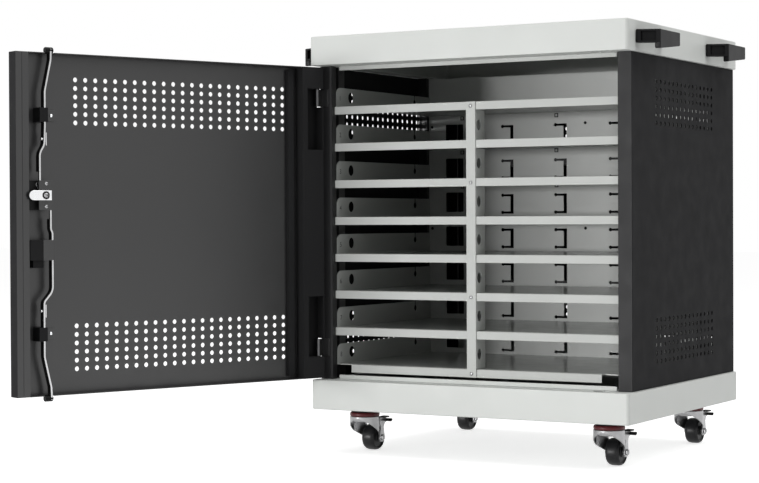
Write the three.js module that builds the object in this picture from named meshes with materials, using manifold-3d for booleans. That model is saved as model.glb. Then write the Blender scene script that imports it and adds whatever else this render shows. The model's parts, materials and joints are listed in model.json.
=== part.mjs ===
// Laptop charging cart: a sheet-steel cabinet on four braked casters, with eight full-width shelves
// split by a centre post, a cable panel at the back, a perforated front door with a three-point rod
// lock, and a rear service door over the power compartment.
// Millimetres, +Z up, front towards -Y. The origin is on the floor under the middle of the cabinet.
// The front door is drawn closed and then turned about its hinge pins to stand open.
import * as THREE from 'three';
import { mergeVertices } from 'three/addons/utils/BufferGeometryUtils.js';
import Module from 'manifold-3d';

const wasm = await Module();
wasm.setup();

// Driving dimensions
const cabinet = { width: 650, depth: 550 };
const heights = { caster: 85, base: 56, body: 597, cap: 55 };
const gap = 0.3;
const sheet = 1.8;
const thinSheet = 1.5;
const sideInset = 6;
const rearInset = 3;
const postSetback = 28;
const postWidth = 25;
const postReturn = 16;
const shelfCount = 8;
const shelfPitch = 70.2;
const topShelfDrop = 77.2;
const shelfLip = 15;
const shelfWall = 37.5;
const doorGap = 3.3;
const doorInset = 2;
const doorThickness = 25;
const doorOpenDegrees = 112;

// Levels and planes worked out from them
const half = { x: cabinet.width / 2, y: cabinet.depth / 2 };
const baseBottom = heights.caster;
const baseTop = baseBottom + heights.base;
const capBottom = baseTop + heights.body;
const capTop = capBottom + heights.cap;
const skinX = half.x - sideInset;
const postFront = -half.y + postSetback;
const postInner = skinX - postWidth;
const bodyRear = half.y - rearInset;
const shelfFront = -238;
const shelfRear = 144.5;
const wallX = postInner + 2.7;
const cablePanelY = 145;
const flangeInnerX = 285;
const flangeFrontY = -212;
const flangeRearY = 262;

// Front door, in its closed place
const doorHalf = half.x - doorInset;
const doorFace = -half.y;
const doorBack = doorFace + doorThickness;
const doorBottom = baseTop + doorGap;
const doorTop = capBottom - doorGap;
const pivot = { x: -half.x + 8, y: doorFace + 12.5 };
const lock = { x: doorHalf - 52, z: 489.5 };
const boltX = { upper: doorHalf - 65.4, lower: doorHalf - 61.1 };
const boltY = -255.5;

// Rear door
const rearPivot = { x: -286.5, y: 266.5 };
const rearDoor = { half: 291, bottom: 209, top: 736.5, front: 260, back: 271.8 };

const paint = (color, roughness, metalness = 0) =>
  new THREE.MeshStandardMaterial({ color, roughness, metalness });
const lightPaint = paint(0xd8dad6, 0.5);
const charcoalPaint = paint(0x333435, 0.55);
const shelfPaint = paint(0xc4c6c3, 0.5);
const blackPlastic = paint(0x1d1d1f, 0.5);
const zincSteel = paint(0xb9bcbe, 0.3, 0.9);
const chrome = paint(0xe4e6e8, 0.12, 1);
const blackRubber = paint(0x1a1a1b, 0.7);
const sealPlastic = paint(0x5a1a1c, 0.5);

// Geometry helpers: outlines, prisms along each axis, and cuts and joins of closed solids
function outline(points, clockwise = false) {
  const corners = points.map(([u, v]) => new THREE.Vector2(u, v));
  if (THREE.ShapeUtils.isClockWise(corners) !== clockwise) corners.reverse();
  return new THREE.Shape(corners);
}

function extrudeOutline(points, length, holes = []) {
  const shape = outline(points);
  shape.holes = holes.map((hole) => outline(hole, true));
  return new THREE.ExtrudeGeometry(shape, { depth: length, bevelEnabled: false, curveSegments: 1 });
}

function solid(geometry) {
  const bare = geometry.clone();
  bare.deleteAttribute('normal');
  bare.deleteAttribute('uv');
  const merged = mergeVertices(bare, 1e-4);
  return new wasm.Manifold(new wasm.Mesh({
    numProp: 3,
    vertProperties: new Float32Array(merged.attributes.position.array),
    triVerts: new Uint32Array(merged.index.array),
  }));
}

const prismZ = (points, z0, z1, holes) =>
  solid(extrudeOutline(points, z1 - z0, holes).translate(0, 0, z0));
// Outline in (x, z), pushed along y
const prismY = (points, y0, y1, holes) =>
  solid(extrudeOutline(points, y1 - y0, holes).rotateX(Math.PI / 2).translate(0, y1, 0));
// Outline in (y, z), pushed along x
const prismX = (points, x0, x1, holes) =>
  solid(extrudeOutline(points, x1 - x0, holes)
    .applyMatrix4(new THREE.Matrix4().set(0, 0, 1, x0, 1, 0, 0, 0, 0, 1, 0, 0, 0, 0, 0, 1)));

const box = ([x0, x1], [y0, y1], [z0, z1]) => solid(
  new THREE.BoxGeometry(x1 - x0, y1 - y0, z1 - z0)
    .translate((x0 + x1) / 2, (y0 + y1) / 2, (z0 + z1) / 2));

// A turned piece: radius and height pairs, closed on the axis, turned about z
const turned = (profile, sides) => new THREE.LatheGeometry(
  profile.map(([r, z]) => new THREE.Vector2(r, z)), sides).rotateX(Math.PI / 2);
const rodZ = (x, y, radius, z0, z1, sides = 10) => solid(
  new THREE.CylinderGeometry(radius, radius, z1 - z0, sides)
    .rotateX(Math.PI / 2).translate(x, y, (z0 + z1) / 2));
const rodYAxis = (x, z, radius, y0, y1, sides = 12) => solid(
  new THREE.CylinderGeometry(radius, radius, y1 - y0, sides).translate(x, (y0 + y1) / 2, z));
const rodXAxis = (y, z, radius, x0, x1, sides = 12) => solid(
  new THREE.CylinderGeometry(radius, radius, x1 - x0, sides)
    .rotateZ(-Math.PI / 2).translate((x0 + x1) / 2, y, z));

const join = (first, ...rest) => rest.reduce((whole, piece) => whole.add(piece), first);
const joinAll = (pieces) => wasm.Manifold.union(pieces);
const cut = (first, ...rest) => rest.reduce((whole, piece) => whole.subtract(piece), first);

function geometryOf(manifold) {
  const { vertProperties, triVerts } = manifold.getMesh();
  const geometry = new THREE.BufferGeometry();
  geometry.setAttribute('position', new THREE.BufferAttribute(new Float32Array(vertProperties), 3));
  geometry.setIndex(new THREE.BufferAttribute(new Uint32Array(triVerts), 1));
  const flat = geometry.toNonIndexed();
  flat.computeVertexNormals();
  return flat;
}

const cart = new THREE.Group();
function place(name, manifold, material, parent = cart) {
  const mesh = new THREE.Mesh(geometryOf(manifold), material);
  mesh.name = name;
  parent.add(mesh);
  return mesh;
}

const arc = (cu, cv, radius, from, to, steps) => Array.from({ length: steps + 1 }, (_, i) => {
  const angle = THREE.MathUtils.degToRad(from + ((to - from) * i) / steps);
  return [cu + radius * Math.cos(angle), cv + radius * Math.sin(angle)];
});
const roundedRect = (u0, u1, v0, v1, r, steps = 2) => [
  ...arc(u1 - r, v0 + r, r, -90, 0, steps),
  ...arc(u1 - r, v1 - r, r, 0, 90, steps),
  ...arc(u0 + r, v1 - r, r, 90, 180, steps),
  ...arc(u0 + r, v0 + r, r, 180, 270, steps),
];
const oval = (u, v, rx, ry, sides = 8) => Array.from({ length: sides }, (_, i) => {
  const angle = (2 * Math.PI * (i + 0.5)) / sides;
  return [u + rx * Math.cos(angle), v + ry * Math.sin(angle)];
});
const range = (count) => Array.from({ length: count }, (_, i) => i);

// A stack of like outlines, skinned into one closed piece: each level is [z, points]
function loftZ(levels) {
  const count = levels[0][1].length;
  const positions = levels.flatMap(([z, points]) => points.flatMap(([x, y]) => [x, y, z]));
  const index = [];
  for (let level = 0; level + 1 < levels.length; level += 1) {
    for (let i = 0; i < count; i += 1) {
      const a = level * count + i;
      const b = level * count + ((i + 1) % count);
      index.push(a, b, b + count, a, b + count, a + count);
    }
  }
  const contour = levels[0][1].map(([x, y]) => new THREE.Vector2(x, y));
  const top = (levels.length - 1) * count;
  for (const [a, b, c] of THREE.ShapeUtils.triangulateShape(contour, [])) {
    index.push(a, c, b, top + a, top + b, top + c);
  }
  const geometry = new THREE.BufferGeometry();
  geometry.setAttribute('position', new THREE.Float32BufferAttribute(positions, 3));
  geometry.setIndex(index);
  return solid(geometry);
}

// Cap and base: folded trays with rounded corners, a small edge radius and an inward flange
const trayOutline = (inset) => roundedRect(
  -half.x + inset, half.x - inset, -half.y + inset, half.y - inset, 6 - inset);
const trayWall = 2;
const trayEdge = 1.5;
const trayHollow = (z0, z1) => box(
  [-half.x + trayWall, half.x - trayWall], [-half.y + trayWall, half.y - trayWall], [z0, z1]);
const trayMouth = (z0, z1) =>
  box([-flangeInnerX, flangeInnerX], [flangeFrontY, flangeRearY], [z0, z1]);
const boltHole = (x, z0, z1) => rodZ(x, boltY, 11, z0, z1, 12);
const rearPinHole = (z0, z1) => rodZ(rearPivot.x, rearPivot.y, 2.9, z0, z1);

place('top_cap', cut(
  loftZ([
    [capBottom, trayOutline(0)],
    [capTop - trayEdge, trayOutline(0)],
    [capTop, trayOutline(trayEdge)],
  ]),
  trayHollow(capBottom + trayWall, capTop - trayWall),
  trayMouth(capBottom - 1, capBottom + trayWall + 1),
  boltHole(boltX.upper, capBottom - 1, capBottom + trayWall + 1),
  rearPinHole(capBottom - 1, capBottom + trayWall + 1),
), lightPaint);

place('base_tray', cut(
  loftZ([
    [baseBottom, trayOutline(trayEdge)],
    [baseBottom + trayEdge, trayOutline(0)],
    [baseTop, trayOutline(0)],
  ]),
  trayHollow(baseBottom + trayWall, baseTop - trayWall),
  trayMouth(baseTop - trayWall - 1, baseTop + 1),
  boltHole(boltX.lower, baseTop - trayWall - 1, baseTop + 1),
), lightPaint);

// Side panels: one folded sheet each, with a front post, a rear return and two hat uprights
const uprightPlaces = [[-217, -195], [134, 144]];
const rearReturnX = 297;
function sidePanel(side) {
  const inner = skinX - sheet;
  const hatTop = wallX + gap;
  const hats = uprightPlaces.flatMap(([y0, y1]) => [
    [inner, y0], [hatTop, y0], [hatTop, y1], [inner, y1],
  ]);
  const profile = [
    [skinX, bodyRear], [skinX, postFront], [postInner, postFront],
    [postInner, postFront + postReturn], [postInner + sheet, postFront + postReturn],
    [postInner + sheet, postFront + sheet], [inner, postFront + sheet],
    ...hats,
    [inner, bodyRear - sheet], [rearReturnX, bodyRear - sheet], [rearReturnX, bodyRear],
  ].map(([x, y]) => [side * x, y]);
  const hollows = uprightPlaces.map(([y0, y1]) => [
    [inner, y0 + sheet], [hatTop + sheet, y0 + sheet], [hatTop + sheet, y1 - sheet], [inner, y1 - sheet],
  ].map(([x, y]) => [side * x, y]));
  return prismZ(profile, baseTop + gap, capBottom - gap, hollows);
}
// The lock's tongue swings up into a strike slot behind the right post's front
const strikeSlot = box(
  [postInner - 1, postInner + sheet + 1], [postFront + sheet, postFront + 8], [lock.z - 34, lock.z + 12]);
place('left_side_panel', sidePanel(-1), charcoalPaint);
place('right_side_panel', cut(sidePanel(1), strikeSlot), charcoalPaint);

// Stop strips of the door opening: angles under the cap and on the base
const stripHalf = 286;
const stripDrop = 8;
const stripRear = -214;
function stopStrip(front, face, inward) {
  const root = face + inward * gap;
  const web = root + inward * thinSheet;
  const tip = face + inward * stripDrop;
  return prismX([
    [front, root], [stripRear, root], [stripRear, web],
    [front + thinSheet, web], [front + thinSheet, tip], [front, tip],
  ], -stripHalf, stripHalf);
}
place('header_strip', stopStrip(-232, capBottom, -1), lightPaint);
place('sill_strip', stopStrip(-236, baseTop, 1), lightPaint);

// Shelves: folded trays with a front lip, and side walls with a hand hole and a drop slot
const shelfTop = (level) => capBottom - topShelfDrop - shelfPitch * level;
const wallFront = -228;
const wallCorner = 14;
const dropY = 81;
const bottomLipHalf = 258;
function shelf(level) {
  const top = shelfTop(level);
  const lipHalf = level === shelfCount - 1 ? bottomLipHalf : postInner - 1;
  const floor = prismZ([
    [-lipHalf, shelfFront], [lipHalf, shelfFront], [lipHalf, wallFront - 1], [wallX, wallFront - 1],
    [wallX, shelfRear], [-wallX, shelfRear], [-wallX, wallFront - 1], [-lipHalf, wallFront - 1],
  ], top - thinSheet, top);
  const lip = box([-lipHalf, lipHalf], [shelfFront, shelfFront + thinSheet], [top - shelfLip, top - 0.5]);
  const wallTop = top + shelfWall;
  const wallOutline = [
    [wallFront, top - thinSheet], [shelfRear, top - thinSheet], [shelfRear, wallTop],
    [dropY + 2.5, wallTop], [dropY + 2.5, wallTop - 7.5], [dropY + 6, wallTop - 14], [dropY, wallTop - 20],
    [dropY - 6, wallTop - 14], [dropY - 2.5, wallTop - 7.5], [dropY - 2.5, wallTop],
    ...arc(wallFront + wallCorner, wallTop - wallCorner, wallCorner, 90, 180, 2),
  ];
  const handHole = oval(-173.5, top + 20, 10, 10.5);
  const walls = [-1, 1].map((side) => prismX(
    wallOutline, ...(side < 0 ? [-wallX, -wallX + thinSheet] : [wallX - thinSheet, wallX]), [handHole]));
  return join(floor, lip, ...walls);
}
range(shelfCount).forEach((level) => place(`shelf_${level + 1}`, shelf(level), shelfPaint));

// Centre post: a front strip over the shelf lips with flanged tabs between the shelves
const centreHalf = 9.5;
const tabRear = -202;
const stripFront = shelfFront - gap - sheet;
function centrePost() {
  const strip = box(
    [-centreHalf, centreHalf], [stripFront, stripFront + sheet],
    [shelfTop(shelfCount - 1) - shelfLip, shelfTop(0)]);
  const tabs = range(shelfCount - 1).flatMap((level) => {
    const z0 = shelfTop(level + 1) + 0.5;
    const z1 = shelfTop(level) - shelfLip - 0.5;
    const tab = [[stripFront + 1, z0], [tabRear, z0], [tabRear, z1], [stripFront + 1, z1]];
    return [[-centreHalf, -centreHalf + thinSheet], [centreHalf - thinSheet, centreHalf]]
      .map(([x0, x1]) => prismX(tab, x0, x1));
  });
  return join(strip, ...tabs);
}
place('centre_post', centrePost(), shelfPaint);

// Cable panel: hooked cable slots and plug openings behind every shelf but the top one
const hookSlot = (x, z) => [
  [x + 7.3, z + 12], [x - 11, z + 12], [x - 11, z + 17], [x + 15, z + 17],
  [x + 15, z - 17], [x - 11, z - 17], [x - 11, z - 12], [x + 7.3, z - 12],
];
const hookPlaces = [-116, 0, 116];
const plugOpening = { inner: 217, outer: 258, half: 20 };
const openingHeight = 30;
const cablePanelTop = 736;
const cableOpenings = range(shelfCount).slice(1).flatMap((level) => {
  const z = shelfTop(level) + openingHeight;
  const { inner, outer, half: reach } = plugOpening;
  const plugs = [-1, 1].map((side) => [
    [side * inner, z - reach], [side * outer, z - reach],
    [side * outer, z + reach], [side * inner, z + reach],
  ]);
  return [...hookPlaces.map((x) => hookSlot(x, z)), ...plugs];
});
const cablePanelHalf = skinX - sheet - gap;
const cablePanelBack = cablePanelY + thinSheet;
place('cable_panel', cut(
  box([-cablePanelHalf, cablePanelHalf], [cablePanelY, cablePanelBack], [baseTop + gap, cablePanelTop]),
  joinAll(cableOpenings.map((hole) => prismY(hole, cablePanelY - 1, cablePanelBack + 1))),
), shelfPaint);

// Power strips on the back of the cable panel, with recessed outlets facing the rear door
const stripDepth = 42;
const stripLength = 410;
const outletPitch = 50;
function powerStrip(z) {
  const back = cablePanelBack + gap;
  const face = back + stripDepth;
  const body = box([-stripLength / 2, stripLength / 2], [back, face], [z - 24, z + 24]);
  const outlets = range(8).map((i) => {
    const x = (i - 3.5) * outletPitch;
    return box([x - 14, x + 14], [face - 9, face + 1], [z - 12, z + 12]);
  });
  return cut(body, ...outlets);
}
place('power_strip_upper', powerStrip(576), blackPlastic);
place('power_strip_lower', powerStrip(296), blackPlastic);

// Push handles: moulded bails on the cap's sides, with a pocket in the front arm and a deeper grip
const handleBase = capBottom + 14;
const handleTop = capBottom + 37.7;
const handleReach = 41;
function pushHandle(side, y0) {
  const foot = half.x + gap;
  const outer = foot + handleReach;
  const arm = (points) => points.map(([x, y]) => [side * x, y0 + y]);
  const bail = prismZ(arm([
    [foot, 0], [outer, 16], [outer, 110], [foot, 127], [foot, 113], [outer - 11, 99],
    [outer - 11, 27], [foot, 14],
  ]), handleBase, handleTop);
  const gripX = side > 0 ? [outer - 11, outer] : [-outer, -outer + 11];
  const [gripFront, gripRear] = [y0 + 16, y0 + 110];
  const drop = prismX([
    [gripFront, handleBase + 1], [gripFront, handleBase - 10],
    [gripRear, handleBase], [gripRear, handleBase + 1],
  ], ...gripX);
  const pocket = prismZ(arm([
    [foot + 10, 0], [outer - 6, 10], [outer - 6, 20], [foot + 10, 10],
  ]), handleBase + 3, handleTop - 3);
  return cut(join(bail, drop), pocket);
}
const frontHandleY = -243;
const rearHandleY = 101;
place('handle_front_left', pushHandle(-1, frontHandleY), blackPlastic);
place('handle_rear_left', pushHandle(-1, rearHandleY), blackPlastic);
place('handle_front_right', pushHandle(1, frontHandleY), blackPlastic);
place('handle_rear_right', pushHandle(1, rearHandleY), blackPlastic);

// Casters, all trailing to the rear: a turned head, a stamped fork with its axle, a wheel and a brake
const swivel = { x: 254, y: 196 };
const trail = 32;
const wheelRadius = 25;
const wheelHalf = 13;
const legInner = 14.5;
const legOuter = 16.5;
const skirt = { inner: 25, outer: 27 };
const brakeSide = [18.2, 20.2];
const casterHead = solid(turned([
  [0, 78.3], [26.8, 78.3], [26.8, 82], [25.5, 82], [25.5, baseBottom - gap], [0, baseBottom - gap],
], 12));

// The fork's sheet, seen from above: round at the front, then drawn in to two parallel legs
const forkPlan = (radius, legX, rear) => [
  ...arc(0, 0, radius, 10, -190, 6), [-legX, trail - 6], [-legX, rear], [legX, rear], [legX, trail - 6],
];
function casterFork() {
  const crown = solid(turned([[0, 67], [20, 67], [26, 72], [26, 78], [0, 78]], 12));
  const sheetAround = cut(
    prismZ(forkPlan(skirt.outer, legOuter, trail + 12), 14, 78),
    prismZ(forkPlan(skirt.inner, legInner, trail + 14), 13, 79));
  const sideView = prismX([
    [-28, 78], [-28, 65], [-13, 51], [5, 38], [trail - 9, 27], [trail - 7, 19],
    ...arc(trail, wheelRadius, 9, 255, 365, 3), [trail + 6, 42], [27, 58], [25, 78],
  ], -30, 30);
  const nutAt = (x0, x1) => rodXAxis(trail, wheelRadius, 7, x0, x1, 6);
  const axle = rodXAxis(trail, wheelRadius, 4, -21, 24, 6);
  const nuts = [nutAt(-21, -legOuter + 0.1), nutAt(brakeSide[1] + 0.5, 25)];
  return join(crown, sheetAround.intersect(sideView), axle, ...nuts);
}

function casterWheel() {
  const bore = 4.4;
  const profile = [
    [bore, -wheelHalf], [9, -wheelHalf], [12, -wheelHalf + 2.5], [20.5, -wheelHalf], [wheelRadius, -6],
    [wheelRadius, 6], [20.5, wheelHalf], [12, wheelHalf - 2.5], [9, wheelHalf], [bore, wheelHalf],
    [bore, -wheelHalf],
  ];
  return solid(turned(profile, 14).rotateY(Math.PI / 2).translate(0, trail, wheelRadius));
}

function casterBrake() {
  const plate = prismX([
    ...arc(trail, wheelRadius, 8.5, 150, 390, 6), [trail + 6, 52], [trail + 10, 60], [trail + 17, 62],
    [trail + 17, 70], [trail + 8, 75], [trail - 9, 75], [trail - 9, 60], [trail - 5, 52],
  ], ...brakeSide, [arc(trail, wheelRadius, 4.8, 0, 300, 5)]);
  const onTab = prismX([
    [trail - 9, 73], [trail - 9, 76], [trail + 9, 76], [trail + 9, 73],
  ], brakeSide[0], brakeSide[1] + 12);
  const offTab = prismX([
    [trail + 12, 63], [trail + 12, 66], [trail + 17, 69], [trail + 17, 65],
  ], brakeSide[0], brakeSide[1] + 13);
  return join(plate, onTab, offTab);
}

const corners = { front_left: [-1, -1], front_right: [1, -1], rear_left: [-1, 1], rear_right: [1, 1] };
const forkSolid = casterFork();
const wheelSolid = casterWheel();
const brakeSolid = casterBrake();
for (const [corner, [sx, sy]] of Object.entries(corners)) {
  const caster = new THREE.Group();
  caster.position.set(sx * swivel.x, sy * swivel.y, 0);
  cart.add(caster);
  place(`caster_head_${corner}`, casterHead, sealPlastic, caster);
  place(`caster_fork_${corner}`, forkSolid, zincSteel, caster);
  place(`caster_wheel_${corner}`, wheelSolid, blackRubber, caster);
  place(`caster_brake_${corner}`, brakeSolid, zincSteel, caster);
}

// Door hinges: leaves on the left post with a barrel and a pin that carries the door
const knuckles = { upper: [661, 693.7], lower: [185.3, 218] };
const pinPlates = { upper: [694, 697], lower: [182, 185] };
const pinReach = 6;
function hinge(which) {
  const [z0, z1] = knuckles[which];
  const barrel = rodZ(pivot.x, pivot.y, 4.5, z0, z1);
  const pin = which === 'upper'
    ? rodZ(pivot.x, pivot.y, 2.6, z1 - 1, z1 + pinReach)
    : rodZ(pivot.x, pivot.y, 2.6, z0 - pinReach, z0 + 1);
  const arm = box([pivot.x - 1.5, pivot.x + 1.5], [pivot.y, postFront - gap], [z0, z1]);
  const leaf = box([pivot.x - 1.5, pivot.x + 17], [postFront - gap - 2, postFront - gap], [z0, z1]);
  return join(barrel, pin, arm, leaf);
}
place('hinge_upper', hinge('upper'), zincSteel);
place('hinge_lower', hinge('lower'), zincSteel);

// Front door: a folded pan with a return lip at the free edge, a box along the hinge edge with two
// pockets for the hinges, and two fields of ventilation holes
const door = new THREE.Group();
door.position.set(pivot.x, pivot.y, 0);
door.rotation.z = -THREE.MathUtils.degToRad(doorOpenDegrees);
cart.add(door);
const hang = (name, manifold, material) =>
  place(name, manifold.translate([-pivot.x, -pivot.y, 0]), material, door);

const vent = { columns: 23, rows: 6, pitchX: 20, pitchZ: 15, radius: 4.2, firstX: doorHalf - 127 };
const ventFields = [616.5, 187];
function doorPanel() {
  const lipX = doorHalf - 23;
  const boxX = -doorHalf + 48;
  const inner = [doorBottom + thinSheet, doorTop - thinSheet];
  const skinInner = doorFace + thinSheet;
  const lipInner = doorBack - thinSheet;
  const pan = cut(
    box([-doorHalf, doorHalf], [doorFace, doorBack], [doorBottom, doorTop]),
    box([boxX + thinSheet, lipX - thinSheet], [skinInner, doorBack + 1], inner),
    box([lipX, doorHalf - thinSheet], [skinInner, lipInner], inner),
    box([lipX - thinSheet - 1, lipX + 1], [skinInner, doorBack - 10], inner),
    box([-doorHalf + thinSheet, boxX], [skinInner, lipInner], inner),
  );
  const ridge = box([boxX + 11, boxX + 23], [skinInner - 0.5, skinInner + 8], [doorBottom + 6, doorTop - 6]);
  const pinPlate = (z) => box([-doorHalf + 0.5, boxX + 0.5], [doorFace + 0.5, doorBack - 0.5], z);
  const pocketY = [doorFace + 4, doorBack + 1];
  const pocket = (z) => box([-doorHalf + thinSheet, -doorHalf + 37], pocketY, z);
  const armSlot = ([z0, z1]) => box([-doorHalf - 1, -doorHalf + 4], pocketY, [z0 - 1.5, z1 + 1.5]);
  const pinHole = ([z0, z1]) => rodZ(pivot.x, pivot.y, 2.9, z0 - 4, z1 + 4);
  const boltNotch = (x, z) => box([x - 9.5, x + 9.5], [boltY - 8, doorBack + 1], [z - 4, z + 4]);
  const vents = ventFields.flatMap((z0) => range(vent.rows * vent.columns).map((i) => {
    const x = vent.firstX - (i % vent.columns) * vent.pitchX;
    const z = z0 + Math.floor(i / vent.columns) * vent.pitchZ;
    return [[x - vent.radius, z], [x, z - vent.radius], [x + vent.radius, z], [x, z + vent.radius]];
  }));
  return cut(
    join(pan, ridge, pinPlate(pinPlates.upper), pinPlate(pinPlates.lower)),
    pocket([578, pinPlates.upper[0]]), pocket([pinPlates.lower[1], 300]),
    armSlot([knuckles.upper[0], pinPlates.upper[0] - 1.5]),
    armSlot([pinPlates.lower[1] + 1.5, knuckles.lower[1]]),
    pinHole(pinPlates.upper), pinHole(pinPlates.lower),
    boltNotch(boltX.upper, doorTop), boltNotch(boltX.lower, doorBottom),
    rodYAxis(lock.x, lock.z, 9, doorFace - 1, skinInner + 1),
    joinAll(vents.map((hole) => prismY(hole, doorFace - 1, skinInner + 1))),
  );
}
hang('door_panel', doorPanel(), charcoalPaint);

// Three-point lock on the door: housing, cam with its tongue, two flat rods and their guides
const housingBack = doorFace + thinSheet + gap;
const roseFace = doorFace - 6;
const camPlane = [-257.5, -255];
const bridgePlane = [-249.9, -248.4];
const tonguePlane = [-244.8, -241.6];
function lockHousing() {
  const z = [lock.z - 25.5, lock.z + 25.5];
  const bodyFace = camPlane[0] - 0.5;
  const body = box([lock.x - 19, lock.x + 26.5], [housingBack, bodyFace], z);
  const bridge = box([lock.x - 19, lock.x + 10], bridgePlane, z);
  const pillars = [[z[0], z[0] + 3.5], [z[1] - 3.5, z[1]]].map((zRange) =>
    box([lock.x - 19, lock.x - 16.6], [bodyFace - 0.5, bridgePlane[1] - 0.5], zRange));
  const spindleBore = rodYAxis(lock.x, lock.z, 8.4, housingBack - 1, bridgePlane[1] + 1);
  return cut(join(body, bridge, ...pillars), spindleBore);
}
hang('lock_housing', lockHousing(), charcoalPaint);

function lockCam() {
  const spindle = rodYAxis(lock.x, lock.z, 8, roseFace - 0.2, tonguePlane[1]);
  const lobes = prismY([
    ...arc(lock.x + 7.5, lock.z + 18.5, 5, 10, 130, 3), ...arc(lock.x - 7.5, lock.z - 18.5, 5, 190, 310, 3),
  ], ...camPlane);
  const tongue = prismY([
    ...arc(lock.x + 23, lock.z, 8.5, -90, 90, 6), [lock.x - 11, lock.z + 8.5], [lock.x - 11, lock.z - 8.5],
  ], ...tonguePlane);
  return join(spindle, lobes, tongue);
}
hang('lock_cam', lockCam(), chrome);

// A bar of even thickness along a path in the door's plane, given as distance from the free edge and height
function bentBar(path, thickness, y0, y1) {
  const points = path.map(([s, z]) => new THREE.Vector2(doorHalf - s, z));
  const sideOf = (sign) => points.map((p, i) => {
    const back = points[Math.max(i - 1, 0)];
    const ahead = points[Math.min(i + 1, points.length - 1)];
    const into = p.clone().sub(back).normalize();
    const onward = ahead.clone().sub(p).normalize();
    if (i === 0) into.copy(onward);
    if (i === points.length - 1) onward.copy(into);
    const mid = into.clone().add(onward).normalize();
    const reach = (sign * thickness) / 2 / mid.dot(into);
    return [p.x - mid.y * reach, p.y + mid.x * reach];
  });
  return prismY([...sideOf(1), ...sideOf(-1).reverse()], y0, y1);
}
// The rods are flat bars on edge; their ends under the lock's bridge are cut down to a narrow strip
const rodThickness = 4;
const rodFront = bridgePlane[0] - 0.4;
const rodBack = rodFront - 12;
const stripBack = camPlane[1] + 0.4;
function lockRod(path, fullFrom, bolt) {
  const [start, ...rest] = path;
  const end = bentBar([start, [start[0], fullFrom]], rodThickness, stripBack, rodFront);
  const bar = bentBar([[start[0], fullFrom], ...rest], rodThickness, rodBack, rodFront);
  const roller = rodXAxis(boltY, bolt.z, 5.5, bolt.x - 7.5, bolt.x + 7.5, 12);
  return join(end, bar, roller);
}
hang('upper_rod', lockRod(
  [[45.3, lock.z + 21], [45.3, 562], [54, 576], [55.3, 610], [55.3, 668], [67, 722], [67.5, 741]],
  530, { x: boltX.upper, z: 738.5 }), zincSteel);
hang('lower_rod', lockRod(
  [[65.5, lock.z - 21], [65.5, 431], [68.6, 425.5], [68.6, 325], [53, 307.5], [52.1, 303], [52.1, 212],
    [64.5, 160], [65.5, 138]],
  449, { x: boltX.lower, z: 140.5 }), zincSteel);

const coverFace = rodFront + 1.9;
const tunnelHalf = rodThickness / 2 + 0.6;
const rodTunnel = (x, [z0, z1]) => box(
  [x - tunnelHalf, x + tunnelHalf], [rodBack - 0.6, rodFront + 0.6], [z0 - 1, z1 + 1]);
function rodGuide(s, z) {
  const x = doorHalf - s;
  const block = box([x - 5, x + 10.5], [housingBack, coverFace], z);
  const foot = box([x - 30, x - 4.5], [housingBack, housingBack + 2.5], [z[0] + 3, z[1] - 3]);
  return join(cut(block, rodTunnel(x, z)), foot);
}
hang('rod_guide_upper', rodGuide(55.3, [615, 640]), blackPlastic);
hang('rod_guide_lower', rodGuide(52.1, [239, 263]), blackPlastic);

function rodKeeper() {
  const x = doorHalf - 68.6;
  const z = [378, 413];
  const block = box([x - 5, doorHalf - 25.2], [housingBack, coverFace], z);
  const skirtBelow = box([doorHalf - 57, doorHalf - 37], [housingBack, -262], [365, z[0] + 0.5]);
  return join(cut(block, rodTunnel(x, z)), skirtBelow);
}
hang('rod_keeper', rodKeeper(), blackPlastic);

// Outside of the door: rosette, lever and key cylinder
hang('handle_rose', cut(
  rodYAxis(lock.x, lock.z, 25, roseFace, doorFace - gap, 16),
  rodYAxis(lock.x, lock.z, 8.6, roseFace - 1, doorFace + 1)), blackPlastic);
const leverFace = roseFace - 15;
function lockLever() {
  const hub = rodYAxis(lock.x, lock.z, 17, leverFace, roseFace - 0.5, 16);
  const arm = prismY([
    [lock.x - 12, lock.z], [lock.x + 12, lock.z], ...arc(lock.x, lock.z - 112, 9, 0, -180, 6),
  ], leverFace + 2, roseFace - 4);
  const keyBore = rodYAxis(lock.x, lock.z, 7.4, leverFace - 1, leverFace + 9);
  return cut(join(hub, arm), keyBore);
}
hang('lock_lever', lockLever(), blackPlastic);
const keySlot = box([lock.x - 1, lock.x + 1], [leverFace - 3, leverFace + 2], [lock.z - 4.5, lock.z + 4.5]);
hang('key_cylinder', cut(
  rodYAxis(lock.x, lock.z, 7, leverFace - 1.5, leverFace + 8.7), keySlot), chrome);

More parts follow.
